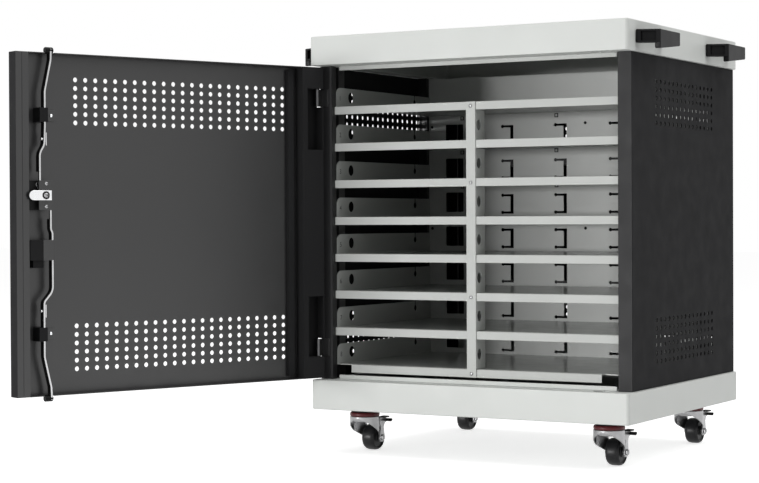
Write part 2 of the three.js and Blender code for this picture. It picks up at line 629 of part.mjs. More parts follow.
// Rear: a fixed lower panel with the power inlet, and a service door on pivot pins with a cam lock
const rearPanelTop = 205;
const inlet = { x: 210, z: 172 };
place('rear_lower_panel', cut(
  prismX([
    [bodyRear - gap, baseTop + gap], [bodyRear - gap, rearPanelTop], [bodyRear - 12, rearPanelTop],
    [bodyRear - 12, rearPanelTop - sheet], [bodyRear - gap - sheet, rearPanelTop - sheet],
    [bodyRear - gap - sheet, baseTop + gap + sheet], [bodyRear - 12, baseTop + gap + sheet],
    [bodyRear - 12, baseTop + gap],
  ], -rearReturnX + 0.4, rearReturnX - 0.4),
  box([inlet.x - 24, inlet.x + 24], [bodyRear - 5, bodyRear + 5], [inlet.z - 14, inlet.z + 14]),
  rearPinHole(rearPanelTop - 5, rearPanelTop + 1),
), lightPaint);
place('power_inlet', cut(
  join(
    prismY(roundedRect(inlet.x - 31, inlet.x + 31, inlet.z - 18, inlet.z + 18, 4), bodyRear, bodyRear + 2.5),
    box([inlet.x - 23.5, inlet.x + 23.5], [bodyRear - 30, bodyRear + 1], [inlet.z - 13.5, inlet.z + 13.5])),
  prismY([
    [inlet.x - 14, inlet.z - 10], [inlet.x + 14, inlet.z - 10], [inlet.x + 14, inlet.z + 6],
    [inlet.x + 10, inlet.z + 10], [inlet.x - 10, inlet.z + 10], [inlet.x - 14, inlet.z + 6],
  ], bodyRear - 16, bodyRear + 4),
), blackPlastic);

const rear = new THREE.Group();
rear.position.set(rearPivot.x, rearPivot.y, 0);
cart.add(rear);
const hangRear = (name, manifold, material) =>
  place(name, manifold.translate([-rearPivot.x, -rearPivot.y, 0]), material, rear);
const rearLock = { x: 272, z: 471 };
hangRear('rear_door', join(
  cut(
    box([-rearDoor.half, rearDoor.half], [rearDoor.front, rearDoor.back], [rearDoor.bottom, rearDoor.top]),
    box(
      [-rearDoor.half + thinSheet, rearDoor.half - thinSheet],
      [rearDoor.front - 1, rearDoor.back - thinSheet],
      [rearDoor.bottom + thinSheet, rearDoor.top - thinSheet]),
    rodYAxis(rearLock.x, rearLock.z, 9.4, rearDoor.back - 5, rearDoor.back + 1)),
  rodZ(rearPivot.x, rearPivot.y, 2.5, rearDoor.top - 1, capBottom + 4),
  rodZ(rearPivot.x, rearPivot.y, 2.5, rearPanelTop - 6, rearDoor.bottom + 1),
), charcoalPaint);
hangRear('rear_lock', cut(
  join(
    rodYAxis(rearLock.x, rearLock.z, 9, rearDoor.front - 4, rearDoor.back + 1),
    rodYAxis(rearLock.x, rearLock.z, 12, rearDoor.back + gap, rearDoor.back + 2.8),
    prismY([
      [rearLock.x - 8, rearLock.z + 8], [rearLock.x - 8, rearLock.z - 22],
      ...arc(rearLock.x, rearLock.z - 26, 6.5, 180, 360, 4), [rearLock.x + 8, rearLock.z - 22],
      [rearLock.x + 8, rearLock.z + 8],
    ], rearDoor.front - 4, rearDoor.front - 1.5)),
  box(
    [rearLock.x - 1, rearLock.x + 1],
    [rearDoor.back + 1.5, rearDoor.back + 4],
    [rearLock.z - 4.5, rearLock.z + 4.5]),
), chrome);

export default cart;
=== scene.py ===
# Laptop charging cart: the looks of every surface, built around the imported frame.
# Sizes are millimetres in the part's own frame (+Z up, front towards -Y); meshes are made in metres.
# The front door's pieces are drawn closed and turned about its hinge to where the frame has the door.
import json
import math

import bmesh
import bpy
from mathutils import Matrix, Vector


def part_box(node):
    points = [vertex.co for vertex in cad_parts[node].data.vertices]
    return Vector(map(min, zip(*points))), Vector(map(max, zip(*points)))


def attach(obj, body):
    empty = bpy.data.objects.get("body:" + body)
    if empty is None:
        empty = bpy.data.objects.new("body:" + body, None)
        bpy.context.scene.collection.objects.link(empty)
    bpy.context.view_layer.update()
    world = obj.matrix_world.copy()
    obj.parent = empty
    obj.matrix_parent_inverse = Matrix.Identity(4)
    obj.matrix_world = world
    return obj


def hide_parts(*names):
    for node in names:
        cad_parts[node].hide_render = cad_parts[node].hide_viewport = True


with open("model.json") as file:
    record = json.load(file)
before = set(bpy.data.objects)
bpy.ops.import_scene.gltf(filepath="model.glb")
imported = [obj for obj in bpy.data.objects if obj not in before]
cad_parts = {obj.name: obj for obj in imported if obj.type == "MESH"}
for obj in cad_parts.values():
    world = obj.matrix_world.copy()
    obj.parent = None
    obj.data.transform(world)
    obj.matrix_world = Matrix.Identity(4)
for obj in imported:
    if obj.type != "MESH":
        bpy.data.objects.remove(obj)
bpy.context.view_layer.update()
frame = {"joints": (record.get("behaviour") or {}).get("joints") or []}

MM = 0.001
scene = bpy.context.scene
joints = {joint["name"]: joint for joint in frame["joints"]}


# Places taken from the frame
def node_box(node):
    low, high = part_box(node)
    return low / MM, high / MM


def joint_spot(name):
    return Vector(joints[name]["pos_m"]) / MM


cap_low, cap_high = node_box("top_cap")
base_low, base_high = node_box("base_tray")
panel_low, panel_high = node_box("right_side_panel")
plate_low, plate_high = node_box("cable_panel")
rear_low, rear_high = node_box("rear_door")
door_z = tuple(corner.z for corner in node_box("door_panel"))
half_x, half_y = cap_high.xy
pivot = joint_spot("front_door_hinge")
open_turn = -math.radians(joints["front_door_hinge"]["range_deg"][1])
DOOR = Matrix.Translation(pivot) @ Matrix.Rotation(open_turn, 4, "Z") @ Matrix.Translation(-pivot)
lock_x, lock_z = (DOOR.inverted() @ joint_spot("lock_turn")).xz

# Sizes of the real cart that the frame's boxes don't hold
GAP = 0.3
SHEET = 1.8
THIN = 1.5
DOOR_DEPTH = 25
door_half = half_x - 2
door_face = -half_y
door_back = door_face + DOOR_DEPTH
skin_back = door_face + THIN
BOLT_Y = -255.5
BOLT_X = {"upper": door_half - 65.4, "lower": door_half - 61.1}
SHELF_LIP = 15
SHELF_WALL = 37.5
SHELVES = 8
LEVELS = range(1, SHELVES + 1)


def lip_bottom(level):
    return node_box(f"shelf_{level}")[0].z


def shelf_top(level):
    return lip_bottom(level) + SHELF_LIP


# Outlines in a plane: counter-clockwise lists of (u, v)
SIDE_SHARE = 0.48
STRAIGHT = 0.02
SHARPEST = 0.25


def arc(u, v, radius, start, end, steps):
    turns = [math.radians(start + (end - start) * i / steps) for i in range(steps + 1)]
    return [(u + radius * math.cos(a), v + radius * math.sin(a)) for a in turns]


def around(middle, half):
    return middle - half, middle + half


def rectangle(u0, u1, v0, v1):
    return [(u0, v0), (u1, v0), (u1, v1), (u0, v1)]


def rounded(u0, u1, v0, v1, radius, steps=4):
    corners = rectangle(u0 + radius, u1 - radius, v0 + radius, v1 - radius)
    turns = zip((1, 2, 3, 0), (-90, 0, 90, 180))
    return [point for i, start in turns for point in arc(*corners[i], radius, start, start + 90, steps)]


def oval(u, v, ru, rv, sides=20):
    turns = [2 * math.pi * (i + 0.5) / sides for i in range(sides)]
    return [(u + ru * math.cos(a), v + rv * math.sin(a)) for a in turns]


def circle(u, v, radius, sides=16):
    return oval(u, v, radius, radius, sides)


def fillet(points, radius, steps=4, closed=True):
    """The same outline with its corners rounded."""
    out = []
    for i, point in enumerate(points):
        corner = Vector(point)
        into = corner - Vector(points[i - 1])
        onward = Vector(points[(i + 1) % len(points)]) - corner
        turn = abs(into.angle_signed(onward, 0))
        loose_end = not closed and i in (0, len(points) - 1)
        if loose_end or turn < STRAIGHT:
            out.append(tuple(corner))
            continue
        reach = min(radius * math.tan(turn / 2), into.length * SIDE_SHARE, onward.length * SIDE_SHARE)
        start = corner - into.normalized() * reach
        end = corner + onward.normalized() * reach
        for k in range(steps + 1):
            t = k / steps
            out.append(tuple(start * (1 - t) ** 2 + corner * 2 * t * (1 - t) + end * t ** 2))
    return out


def shrink(loop, amount):
    """The outline with every side moved inwards by an amount (outwards if it is negative)."""
    out = []
    for i, point in enumerate(loop):
        here = Vector(point)
        into = (here - Vector(loop[i - 1])).normalized()
        onward = (Vector(loop[(i + 1) % len(loop)]) - here).normalized()
        left = Vector((-into.y - onward.y, into.x + onward.x))
        out.append(tuple(here + left * (amount / max(1 + into.dot(onward), SHARPEST))))
    return out


def band(path, width):
    """The outline of a flat bar of even width along a path."""
    sides = ([], [])
    for i, point in enumerate(path):
        here = Vector(point)
        into = (here - Vector(path[max(i - 1, 0)])).normalized()
        onward = (Vector(path[min(i + 1, len(path) - 1)]) - here).normalized()
        if i == 0:
            into = onward
        if i == len(path) - 1:
            onward = into
        left = Vector((-into.y - onward.y, into.x + onward.x)) / (1 + into.dot(onward))
        sides[0].append(tuple(here + left * (width / 2)))
        sides[1].append(tuple(here - left * (width / 2)))
    return sides[1] + sides[0][::-1]


# Closed shells, as bmeshes in millimetres
ORDER = {"x": (2, 0, 1), "y": (0, 2, 1), "z": (0, 1, 2)}
ARC_MID = 0.293
ROD_EASE = 0.5
ROD_EASE_MID = 0.15
ROD_SIDES = 24


def spot(axis, u, v, w):
    """The point at (u, v) in the plane across an axis, at w along it."""
    return tuple((u, v, w)[i] for i in ORDER[axis])


def bridge(shell, first, second):
    if len(first) == 1 or len(second) == 1:
        pole, ring = (first[0], second) if len(first) == 1 else (second[0], first)
        for i, vert in enumerate(ring):
            shell.faces.new((pole, vert, ring[(i + 1) % len(ring)]))
        return
    for i in range(len(first)):
        j = (i + 1) % len(first)
        shell.faces.new((first[i], first[j], second[j], second[i]))


def facing_out(shell):
    bmesh.ops.recalc_face_normals(shell, faces=shell.faces[:])
    return shell


def edge_levels(low, high, edge):
    """Heights and insets of a plate's rounded rim, from its lower face to its upper face."""
    if not edge:
        return [(low, 0), (high, 0)]
    mid = ARC_MID * edge
    return [(low, edge), (low + mid, mid), (low + edge, 0),
            (high - edge, 0), (high - mid, mid), (high, edge)]


def slab(axis, low, high, outer, holes=(), edge=0.0, hole_edge=0.0):
    """A plate across an axis, with holes and with rounded edges."""
    shell = bmesh.new()
    rims = ([], [])
    for loop, side, rim in [(outer, 1, edge)] + [(hole, -1, hole_edge) for hole in holes]:
        rings = []
        for w, inset in edge_levels(low, high, rim):
            shape = shrink(loop, side * inset) if inset else loop
            rings.append([shell.verts.new(spot(axis, u, v, w)) for u, v in shape])
        for first, second in zip(rings, rings[1:]):
            bridge(shell, first, second)
        rims[0].append(rings[0])
        rims[1].append(rings[-1])
    for rim in rims:
        if len(rim) == 1:
            shell.faces.new(rim[0])
            continue
        edges = [shell.edges.get((ring[i - 1], ring[i])) for ring in rim for i in range(len(ring))]
        bmesh.ops.triangle_fill(shell, use_beauty=True, use_dissolve=False, edges=edges)
    return facing_out(shell)


def block(x, y, z, edge):
    return slab("z", *z, rectangle(*x, *y), edge=edge)


def loft(rings):
    """Rings of points skinned into one closed shell."""
    shell = bmesh.new()
    made = [[shell.verts.new(point) for point in ring] for ring in rings]
    for first, second in zip(made, made[1:]):
        bridge(shell, first, second)
    shell.faces.new(made[0])
    shell.faces.new(made[-1])
    return facing_out(shell)


def turned(axis, centre, profile, sides, base=0.0, closed=False):
    """A solid of revolution: (radius, height above a base) pairs from pole to pole, or a closed section."""
    shell = bmesh.new()
    rings = []
    for radius, rise in profile:
        ring = circle(*centre, radius, sides) if radius else [centre]
        rings.append([shell.verts.new(spot(axis, u, v, base + rise)) for u, v in ring])
    for first, second in zip(rings, rings[1:] + (rings[:1] if closed else [])):
        bridge(shell, first, second)
    return facing_out(shell)


def soft_rod(axis, centre, radius, low, high):
    """A round bar with eased ends."""
    ease = [(radius - ROD_EASE, 0), (radius - ROD_EASE_MID, ROD_EASE_MID), (radius, ROD_EASE)]
    lower = [(r, low + rise) for r, rise in ease]
    upper = [(r, high - rise) for r, rise in ease[::-1]]
    return turned(axis, centre, [(0, low), *lower, *upper, (0, high)], ROD_SIDES)


SCREW_HEAD = ((0, 0.35), (0.36, 0.35), (0.4, 1), (0.7, 0.92), (0.93, 0.55), (1, 0.15))
SCREW_RISE = 0.62
SCREW_SINK = 0.4
SCREW_SIDES = 16


def screw(centre, face, out, radius):
    """A pan-head screw with a round socket, standing on a face across y; out is its direction along y."""
    rise = radius * SCREW_RISE * out
    root = -SCREW_SINK * out
    head = [(radius * r, rise * w) for r, w in SCREW_HEAD]
    return turned("y", centre, [*head, (radius, root), (0, root)], SCREW_SIDES, face)


def tinted(index, *shells):
    """The shells with all their faces on one of their piece's finishes."""
    for shell in shells:
        for face in shell.faces:
            face.material_index = index
    return shells


def tinted_side(shell, way, index, rest=0):
    """The shell with the faces that look one way on one finish, and the rest on another."""
    for face in shell.faces:
        face.material_index = index if face.normal.dot(way) > 0.5 else rest
    return shell


def joined(*shells):
    """Several shells as one mesh."""
    whole = bmesh.new()
    for shell in shells:
        holder = bpy.data.meshes.new("holder")
        shell.to_mesh(holder)
        whole.from_mesh(holder)
        bpy.data.meshes.remove(holder)
        shell.free()
    return whole


def combined(shell, other, operation):
    """A boolean of two shells."""
    objects = []
    for part in (shell, other):
        mesh = bpy.data.meshes.new("holder")
        part.to_mesh(mesh)
        part.free()
        holder = bpy.data.objects.new("holder", mesh)
        scene.collection.objects.link(holder)
        objects.append(holder)
    modifier = objects[0].modifiers.new("combine", "BOOLEAN")
    modifier.operation = operation
    modifier.solver = "EXACT"
    modifier.object = objects[1]
    depsgraph = bpy.context.evaluated_depsgraph_get()
    result = bpy.data.meshes.new_from_object(objects[0].evaluated_get(depsgraph))
    whole = bmesh.new()
    whole.from_mesh(result)
    bpy.data.meshes.remove(result)
    for holder in objects:
        mesh = holder.data
        bpy.data.objects.remove(holder)
        bpy.data.meshes.remove(mesh)
    return whole


def carved(shell, cutter):
    return combined(shell, cutter, "DIFFERENCE")


SMOOTH_ANGLE = math.radians(42)


def make(name, shell, finishes, nodes=(), body="cabinet", place=None):
    """Turns a shell into a piece that rides on a body and stands for the frame's nodes."""
    mesh = bpy.data.meshes.new(name)
    if place:
        shell.transform(place)
        if place.determinant() < 0:
            bmesh.ops.reverse_faces(shell, faces=shell.faces[:])
    shell.transform(Matrix.Scale(MM, 4))
    shell.to_mesh(mesh)
    shell.free()
    for finish in finishes:
        mesh.materials.append(finish)
    mesh.shade_smooth()
    mesh.set_sharp_from_angle(angle=SMOOTH_ANGLE)
    piece = bpy.data.objects.new(name, mesh)
    scene.collection.objects.link(piece)
    normals = piece.modifiers.new("even_faces", "WEIGHTED_NORMAL")
    normals.keep_sharp = True
    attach(piece, body)
    if nodes:
        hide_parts(*nodes)


# Finishes
NOISE_RANGE = (0.3, 0.7)
GLOSS_SPREAD = 0.1
GRAIN_DEPTH = 0.0002


def noise(tree, scale, detail):
    """Noise in the piece's own coordinates."""
    coordinates = tree.nodes.new("ShaderNodeTexCoord")
    texture = tree.nodes.new("ShaderNodeTexNoise")
    texture.inputs["Scale"].default_value = scale
    texture.inputs["Detail"].default_value = detail
    tree.links.new(coordinates.outputs["Object"], texture.inputs["Vector"])
    return texture.outputs["Fac"]


def surface(name, colour, roughness, mottle, metallic=0.0, mottle_scale=7, grain=900, bump=0.08,
            specular=0.5):
    """A procedural finish: cloudy colour, uneven gloss and a fine raised grain."""
    material = bpy.data.materials.new(name)
    material.use_nodes = True
    tree = material.node_tree
    shader = tree.nodes["Principled BSDF"]
    shader.inputs["Metallic"].default_value = metallic
    shader.inputs["Specular IOR Level"].default_value = specular
    ramp = tree.nodes.new("ShaderNodeValToRGB")
    for element, place, factor in zip(ramp.color_ramp.elements, NOISE_RANGE, (1 - mottle, 1 + mottle)):
        element.position = place
        element.color = (*[min(c * factor, 1) for c in colour], 1)
    tree.links.new(noise(tree, mottle_scale, 4), ramp.inputs["Fac"])
    tree.links.new(ramp.outputs["Color"], shader.inputs["Base Color"])
    gloss = tree.nodes.new("ShaderNodeMapRange")
    limits = (*NOISE_RANGE, roughness * (1 - GLOSS_SPREAD), roughness * (1 + GLOSS_SPREAD))
    for key, value in zip(("From Min", "From Max", "To Min", "To Max"), limits):
        gloss.inputs[key].default_value = value
    tree.links.new(noise(tree, mottle_scale * 4, 3), gloss.inputs["Value"])
    tree.links.new(gloss.outputs["Result"], shader.inputs["Roughness"])
    relief = tree.nodes.new("ShaderNodeBump")
    relief.inputs["Strength"].default_value = bump
    relief.inputs["Distance"].default_value = GRAIN_DEPTH
    tree.links.new(noise(tree, grain, 2), relief.inputs["Height"])
    tree.links.new(relief.outputs["Normal"], shader.inputs["Normal"])
    return material


LIGHT = surface("light_powder_coat", (0.70, 0.72, 0.695), 0.42, 0.012, bump=0.06, specular=0.3)
CHARCOAL = surface("charcoal_powder_coat", (0.026, 0.026, 0.027), 0.8, 0.05, grain=1100, bump=0.12,
                   specular=0.06)
SATIN = surface("charcoal_satin_coat", (0.016, 0.016, 0.0165), 0.33, 0.04, grain=1100, bump=0.04,
                specular=0.72)
POST = surface("charcoal_post_coat", (0.026, 0.026, 0.027), 0.55, 0.05, grain=1100, specular=0.22)
# Shelf paint, also laid on the header strip as painted shade under the cap's overhang
SHELF_COAT_AND_PAINTED_SHADE = surface("shelf_powder_coat_and_painted_shade", (0.57, 0.585, 0.565), 0.45, 0.015, bump=0.03, specular=0.2)
SHELF_FLOOR = surface("shelf_gloss_coat", (0.57, 0.585, 0.565), 0.2, 0.015, bump=0.02)
PANEL = surface("panel_powder_coat", (0.70, 0.712, 0.695), 0.45, 0.015, bump=0.03, specular=0.2)
# Black nylon for handles, outlets and lock parts, also laid in the door's hinge pockets as painted shade
BLACK_NYLON_AND_SHADE = surface("black_nylon_and_painted_shade", (0.007, 0.007, 0.0075), 0.42, 0.1, grain=1500, bump=0.15, specular=0.14)
STEEL = surface("zinc_plate", (0.34, 0.34, 0.345), 0.32, 0.1, 1.0, mottle_scale=60, bump=0.04)
# Bright zinc for the rivets and splices, also laid on the lock rods' front faces as a painted highlight
BRIGHT_STEEL_AND_HIGHLIGHT = surface("bright_zinc_and_painted_highlight", (0.58, 0.58, 0.585), 0.25, 0.08, 1.0, mottle_scale=60, bump=0.03)
# Steel darkened as painted shade, for the hinges that sit in the door's shadow
HINGE_STEEL_PAINTED_SHADE = surface("hinge_steel_painted_shade", (0.11, 0.11, 0.112), 0.3, 0.1, 1.0, mottle_scale=60, bump=0.04)
# Blackened steel for screws, washers and the rods' sides, also laid on the caster race rings and the shelf
# clips' frames as painted shade
DARK_STEEL_AND_SHADE = surface("blackened_steel_and_painted_shade", (0.006, 0.006, 0.006), 0.4, 0.15, specular=0.1)
CHROME = surface("chrome", (0.88, 0.89, 0.9), 0.14, 0.02, 1.0, bump=0.01)
RUBBER = surface("wheel_tread", (0.010, 0.010, 0.011), 0.36, 0.12, mottle_scale=40, specular=0.25)
HUB = surface("wheel_hub", (0.022, 0.022, 0.023), 0.45, 0.08, mottle_scale=40, specular=0.25)
SEAL = surface("dust_seal", (0.085, 0.008, 0.010), 0.38, 0.1, mottle_scale=60, specular=0.3)
INK = surface("number_ink", (0.05, 0.05, 0.052), 0.6, 0.05)


# Cap and base: folded trays with rounded corners, each with an inward flange and a hole for a rod's end
TRAY_WALL = 2
TRAY_EDGE = 2.2
TRAY_CORNER = 6
RIM_EDGE = 1.2
RIM_MID = 0.35
MOUTH = (-285, 285, -212, 262)
MOUTH_CORNER = 2
BOLT_HOLE = 11


def tray_ring(inset, z):
    ring = rounded(*around(0, half_x - inset), *around(0, half_y - inset), TRAY_CORNER - inset, 6)
    return [(u, v, z) for u, v in ring]


def tray(face_z, flange_z, bolt_x):
    up = 1 if face_z > flange_z else -1
    inner_z = flange_z + up * TRAY_WALL
    mouth = rounded(*MOUTH, MOUTH_CORNER, 6)
    mid = ARC_MID * TRAY_EDGE
    shell = loft([
        tray_ring(TRAY_EDGE, face_z), tray_ring(mid, face_z - up * mid),
        tray_ring(0, face_z - up * TRAY_EDGE), tray_ring(0, flange_z + up * RIM_EDGE),
        tray_ring(RIM_MID, flange_z + up * RIM_MID), tray_ring(RIM_EDGE, flange_z),
        [(u, v, flange_z) for u, v in mouth], [(u, v, inner_z) for u, v in mouth],
        tray_ring(TRAY_WALL, inner_z), tray_ring(TRAY_WALL, face_z - up * TRAY_WALL),
    ])
    ends = sorted((flange_z - up * TRAY_WALL, inner_z + up * TRAY_WALL))
    return carved(shell, soft_rod("z", (bolt_x, BOLT_Y), BOLT_HOLE, *ends))


make("cap_shell", tray(cap_high.z, cap_low.z, BOLT_X["upper"]), [LIGHT], ["top_cap"])
make("base_shell", tray(base_low.z, base_high.z, BOLT_X["lower"]), [LIGHT], ["base_tray"])

# Side panels: a perforated skin behind a folded front post, with a rear return and two hat uprights
VENT_RADIUS = 4.2
VENT_PITCH_U = 20
VENT_PITCH_Z = 15
VENT_ROWS = 6
VENT_BOTTOMS = (616.5, 187)
SIDE_COLUMNS = 15
FIRST_SIDE_VENT = {"right": -129, "left": -151}
SEAM = 1.6
BACKING_REAR = 14
RETURN_REAR = 16
STRIKE_REAR = 8
STRIKE_Z = (lock_z - 34, lock_z + 12)
HAT_X = 297
HAT_INSIDE = 299
UPRIGHTS = ((-217, -195), (134, 144))
MIRROR_X = Matrix.Scale(-1, 4, (1, 0, 0))


def vent_field(first, count, sides=14):
    """Round ventilation holes in two fields of six rows; first is the first column's place."""
    return [circle(first + VENT_PITCH_U * i, bottom + VENT_PITCH_Z * j, VENT_RADIUS, sides)
            for bottom in VENT_BOTTOMS for j in range(VENT_ROWS) for i in range(count)]


def hat_upright(root, y0, y1, z):
    return slab("z", *z, [
        (root, y0), (root, y0 + SHEET), (HAT_INSIDE, y0 + SHEET), (HAT_INSIDE, y1 - SHEET),
        (root, y1 - SHEET), (root, y1), (HAT_X, y1), (HAT_X, y0)])


def side_panel(side):
    front, rear = panel_low.y, panel_high.y
    post_x, skin_x = panel_low.x, panel_high.x
    inner, fold = skin_x - SHEET, front + SHEET
    z = (panel_low.z, panel_high.z)
    skin = slab("x", inner, skin_x, rectangle(fold + SEAM, rear - 0.2, *z),
                vent_field(FIRST_SIDE_VENT[side], SIDE_COLUMNS), edge=0.3)
    backing = block((inner - 1.4, inner - 0.2), (fold, front + BACKING_REAR), z, 0.1)
    post_front = block((post_x, skin_x), (front, fold), z, 0.8)
    strike = rounded(fold + 0.1, front + STRIKE_REAR, *STRIKE_Z, 1)
    post_return = slab("x", post_x, post_x + SHEET, rectangle(fold, front + RETURN_REAR, *z),
                       [strike] if side == "right" else [], edge=0.2)
    rear_return = block((HAT_X, inner), (rear - SHEET, rear), z, 0.4)
    hats = [hat_upright(inner - 0.1, y0, y1, z) for y0, y1 in UPRIGHTS]
    return joined(skin, *tinted(2, post_front), rear_return, *tinted(1, backing, post_return, *hats))


for side, place in (("right", None), ("left", MIRROR_X)):
    make(f"{side}_side_shell", side_panel(side), [CHARCOAL, SATIN, POST],
         [f"{side}_side_panel"], place=place)

# Stop strips of the door opening
STRIP_HALF = 286
STRIP_REAR = -214
STRIP_LIP = 8
HEADER_FRONT = -232
SILL_FRONT = -236


def angle_strip(front, flange_z, lip_z):
    up = 1 if lip_z > flange_z else -1
    profile = [(front, flange_z), (STRIP_REAR, flange_z), (STRIP_REAR, flange_z + up * THIN),
               (front + THIN, flange_z + up * THIN), (front + THIN, lip_z), (front, lip_z)]
    return slab("x", -STRIP_HALF, STRIP_HALF, fillet(profile[::up], 0.5, 2), edge=0.2)


# The header strip is on the darker shelf paint as painted shade under the cap's overhang.
make("header_angle", angle_strip(HEADER_FRONT, cap_low.z - GAP, cap_low.z - STRIP_LIP), [SHELF_COAT_AND_PAINTED_SHADE],
     ["header_strip"])
make("sill_angle", angle_strip(SILL_FRONT, base_high.z + GAP, base_high.z + STRIP_LIP), [LIGHT],
     ["sill_strip"])

# Shelves: a tray with a folded front lip, and side walls with a hole and a keyhole notch
WALL_FRONT = -228
WALL_CORNER = 14
LIP_SETBACK = 3.7
LAST_LIP_HALF = 258
NOTCH_Y = 81
NOTCH_HALF = 2.5
NOTCH_NECK = 8
NOTCH_DROP = 14
NOTCH_RADIUS = 6
WALL_HOLE_Y = -173.5
WALL_HOLE_RISE = 20


def shelf(level):
    low, high = node_box(f"shelf_{level}")
    top = shelf_top(level)
    wall_x, front, under = high.x, low.y, top - THIN
    lip_half = wall_x - LIP_SETBACK if level < SHELVES else LAST_LIP_HALF
    lip = fillet([(front, low.z), (front + THIN, low.z), (front + THIN, under), (WALL_FRONT, under),
                  (WALL_FRONT, top), (front, top)], 1.1, 3)
    wall_top = top + SHELF_WALL
    left, right = around(NOTCH_Y, NOTCH_HALF)
    neck = wall_top - NOTCH_NECK
    wall = (arc(WALL_FRONT + WALL_CORNER, wall_top - WALL_CORNER, WALL_CORNER, 90, 180, 6)
            + [(WALL_FRONT, under), (high.y, under), (high.y, wall_top), (right, wall_top), (right, neck)]
            + arc(NOTCH_Y, wall_top - NOTCH_DROP, NOTCH_RADIUS, 40, -220, 12)
            + [(left, neck), (left, wall_top)])
    hole = oval(WALL_HOLE_Y, top + WALL_HOLE_RISE, 10, 10.5)
    sides = [slab("x", x0, x0 + THIN, wall, [hole], edge=0.3, hole_edge=0.3)
             for x0 in (-wall_x, wall_x - THIN)]
    floor = block((-wall_x + THIN, wall_x - THIN), (WALL_FRONT, high.y), (under, top), 0.1)
    return joined(slab("x", -lip_half, lip_half, lip, edge=0.3), *tinted(1, floor), *sides)


for level in LEVELS:
    make(f"shelf_tray_{level}", shelf(level), [SHELF_COAT_AND_PAINTED_SHADE, SHELF_FLOOR], [f"shelf_{level}"])

# Bay numbers on the shelves' side walls
NUMBER_SIZE = 13
NUMBER_RAISED = 0.05
NUMBER_Y = -214
NUMBER_RISE = 17


def number_mark(number, side, level):
    name = f"bay_number_{number}"
    curve = bpy.data.curves.new(name, "FONT")
    curve.body = str(number)
    curve.size = NUMBER_SIZE * MM
    curve.extrude = NUMBER_RAISED * MM
    curve.align_x = "CENTER"
    curve.align_y = "CENTER"
    holder = bpy.data.objects.new("holder", curve)
    scene.collection.objects.link(holder)
    mesh = bpy.data.meshes.new_from_object(holder.evaluated_get(bpy.context.evaluated_depsgraph_get()))
    bpy.data.objects.remove(holder)
    mesh.name = name
    mesh.materials.clear()
    mesh.materials.append(INK)
    wall_face = node_box(f"shelf_{level}")[1].x - THIN - 0.06
    place = Vector((side * wall_face * MM, NUMBER_Y * MM, (shelf_top(level) + NUMBER_RISE) * MM))
    turn = Matrix(((0, 0, -side), (-side, 0, 0), (0, 1, 0))).to_4x4()
    mesh.transform(Matrix.Translation(place) @ turn)
    piece = bpy.data.objects.new(name, mesh)
    scene.collection.objects.link(piece)
    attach(piece, "cabinet")


for level in LEVELS:
    number_mark(level, -1, level)
    number_mark(level + SHELVES, 1, level)

# Centre post: a front strip over the lips, with tabs that have an oval hole each
TAB_HOLE_Y = -225.5
TAB_HOLE = (8.5, 10)
POST_SCREW_LEVELS = (1, 3, 6, 8)
POST_SCREW_RISE = 7
post_low, post_high = node_box("centre_post")


def centre_post():
    strip_back = post_low.y + SHEET
    outline = rounded(post_low.x, post_high.x, post_low.z, post_high.z, 1.2, 3)
    strip = slab("y", post_low.y, strip_back, outline, edge=0.5)
    tabs = []
    for level in LEVELS[1:]:
        floor, ceiling = shelf_top(level), lip_bottom(level - 1)
        tab = fillet(rectangle(strip_back, post_high.y, floor + 0.5, ceiling - 0.5), 1)
        hole = oval(TAB_HOLE_Y, (floor + ceiling) / 2, *TAB_HOLE)
        tabs += [slab("x", x0, x0 + THIN, tab, [hole], edge=0.3) for x0 in (post_low.x, post_high.x - THIN)]
    return joined(strip, *tabs)


make("post_channel", centre_post(), [SHELF_COAT_AND_PAINTED_SHADE], ["centre_post"])
make("post_screws", joined(*[
    screw((0, lip_bottom(level) + POST_SCREW_RISE), post_low.y, -1, 3.4) for level in POST_SCREW_LEVELS
]), [STEEL])

# Cable panel with hooked slots and plug openings, its screws and the shelves' spring nuts
SLOT_COLUMNS = (-118.7, 0, 118.7)
SLOT_BAR = (9.3, 16.5)
SLOT_REACH = 8.2
SLOT_HALF = 17.5
ARM_HALF = 2.4
ARM_END = 3.6
PLUG_COLUMNS = (-237.5, 237.5)
PLUG_HALF_X = 20.5
PLUG_HALF_Z = 20
PLUG_RISE = 30
SLOT_RISE = PLUG_RISE - 4.4
PANEL_SCREW_X = (-290, 57, 290)
PANEL_SCREW_Z = (636, 426, 216)
CLIP_COLUMNS = (-219, -6, 207)
CLIP_DROP = 8
CLIP_HALVES = (4, 2.4)


def hook_slot(x, z):
    """An upright slot with an arm at each end, each arm with a round end."""
    ends = [arc(x - SLOT_REACH, z + dz, ARM_END, 36, 324, 8) for dz in (SLOT_HALF, -SLOT_HALF)]
    near, far = x + SLOT_BAR[0], x + SLOT_BAR[1]
    inner, outer = SLOT_HALF - ARM_HALF, SLOT_HALF + ARM_HALF
    return [(far, z + outer), *ends[0], (near, z + inner), (near, z - inner), *ends[1], (far, z - outer)]


def cable_plate():
    holes = []
    for level in LEVELS[1:]:
        top = shelf_top(level)
        holes += [hook_slot(x, top + SLOT_RISE) for x in SLOT_COLUMNS]
        plug_z = around(top + PLUG_RISE, PLUG_HALF_Z)
        holes += [rounded(*around(x, PLUG_HALF_X), *plug_z, 1.5) for x in PLUG_COLUMNS]
    outline = rectangle(plate_low.x, plate_high.x, plate_low.z, plate_high.z)
    return slab("y", plate_low.y, plate_high.y, outline, holes, edge=0.3)


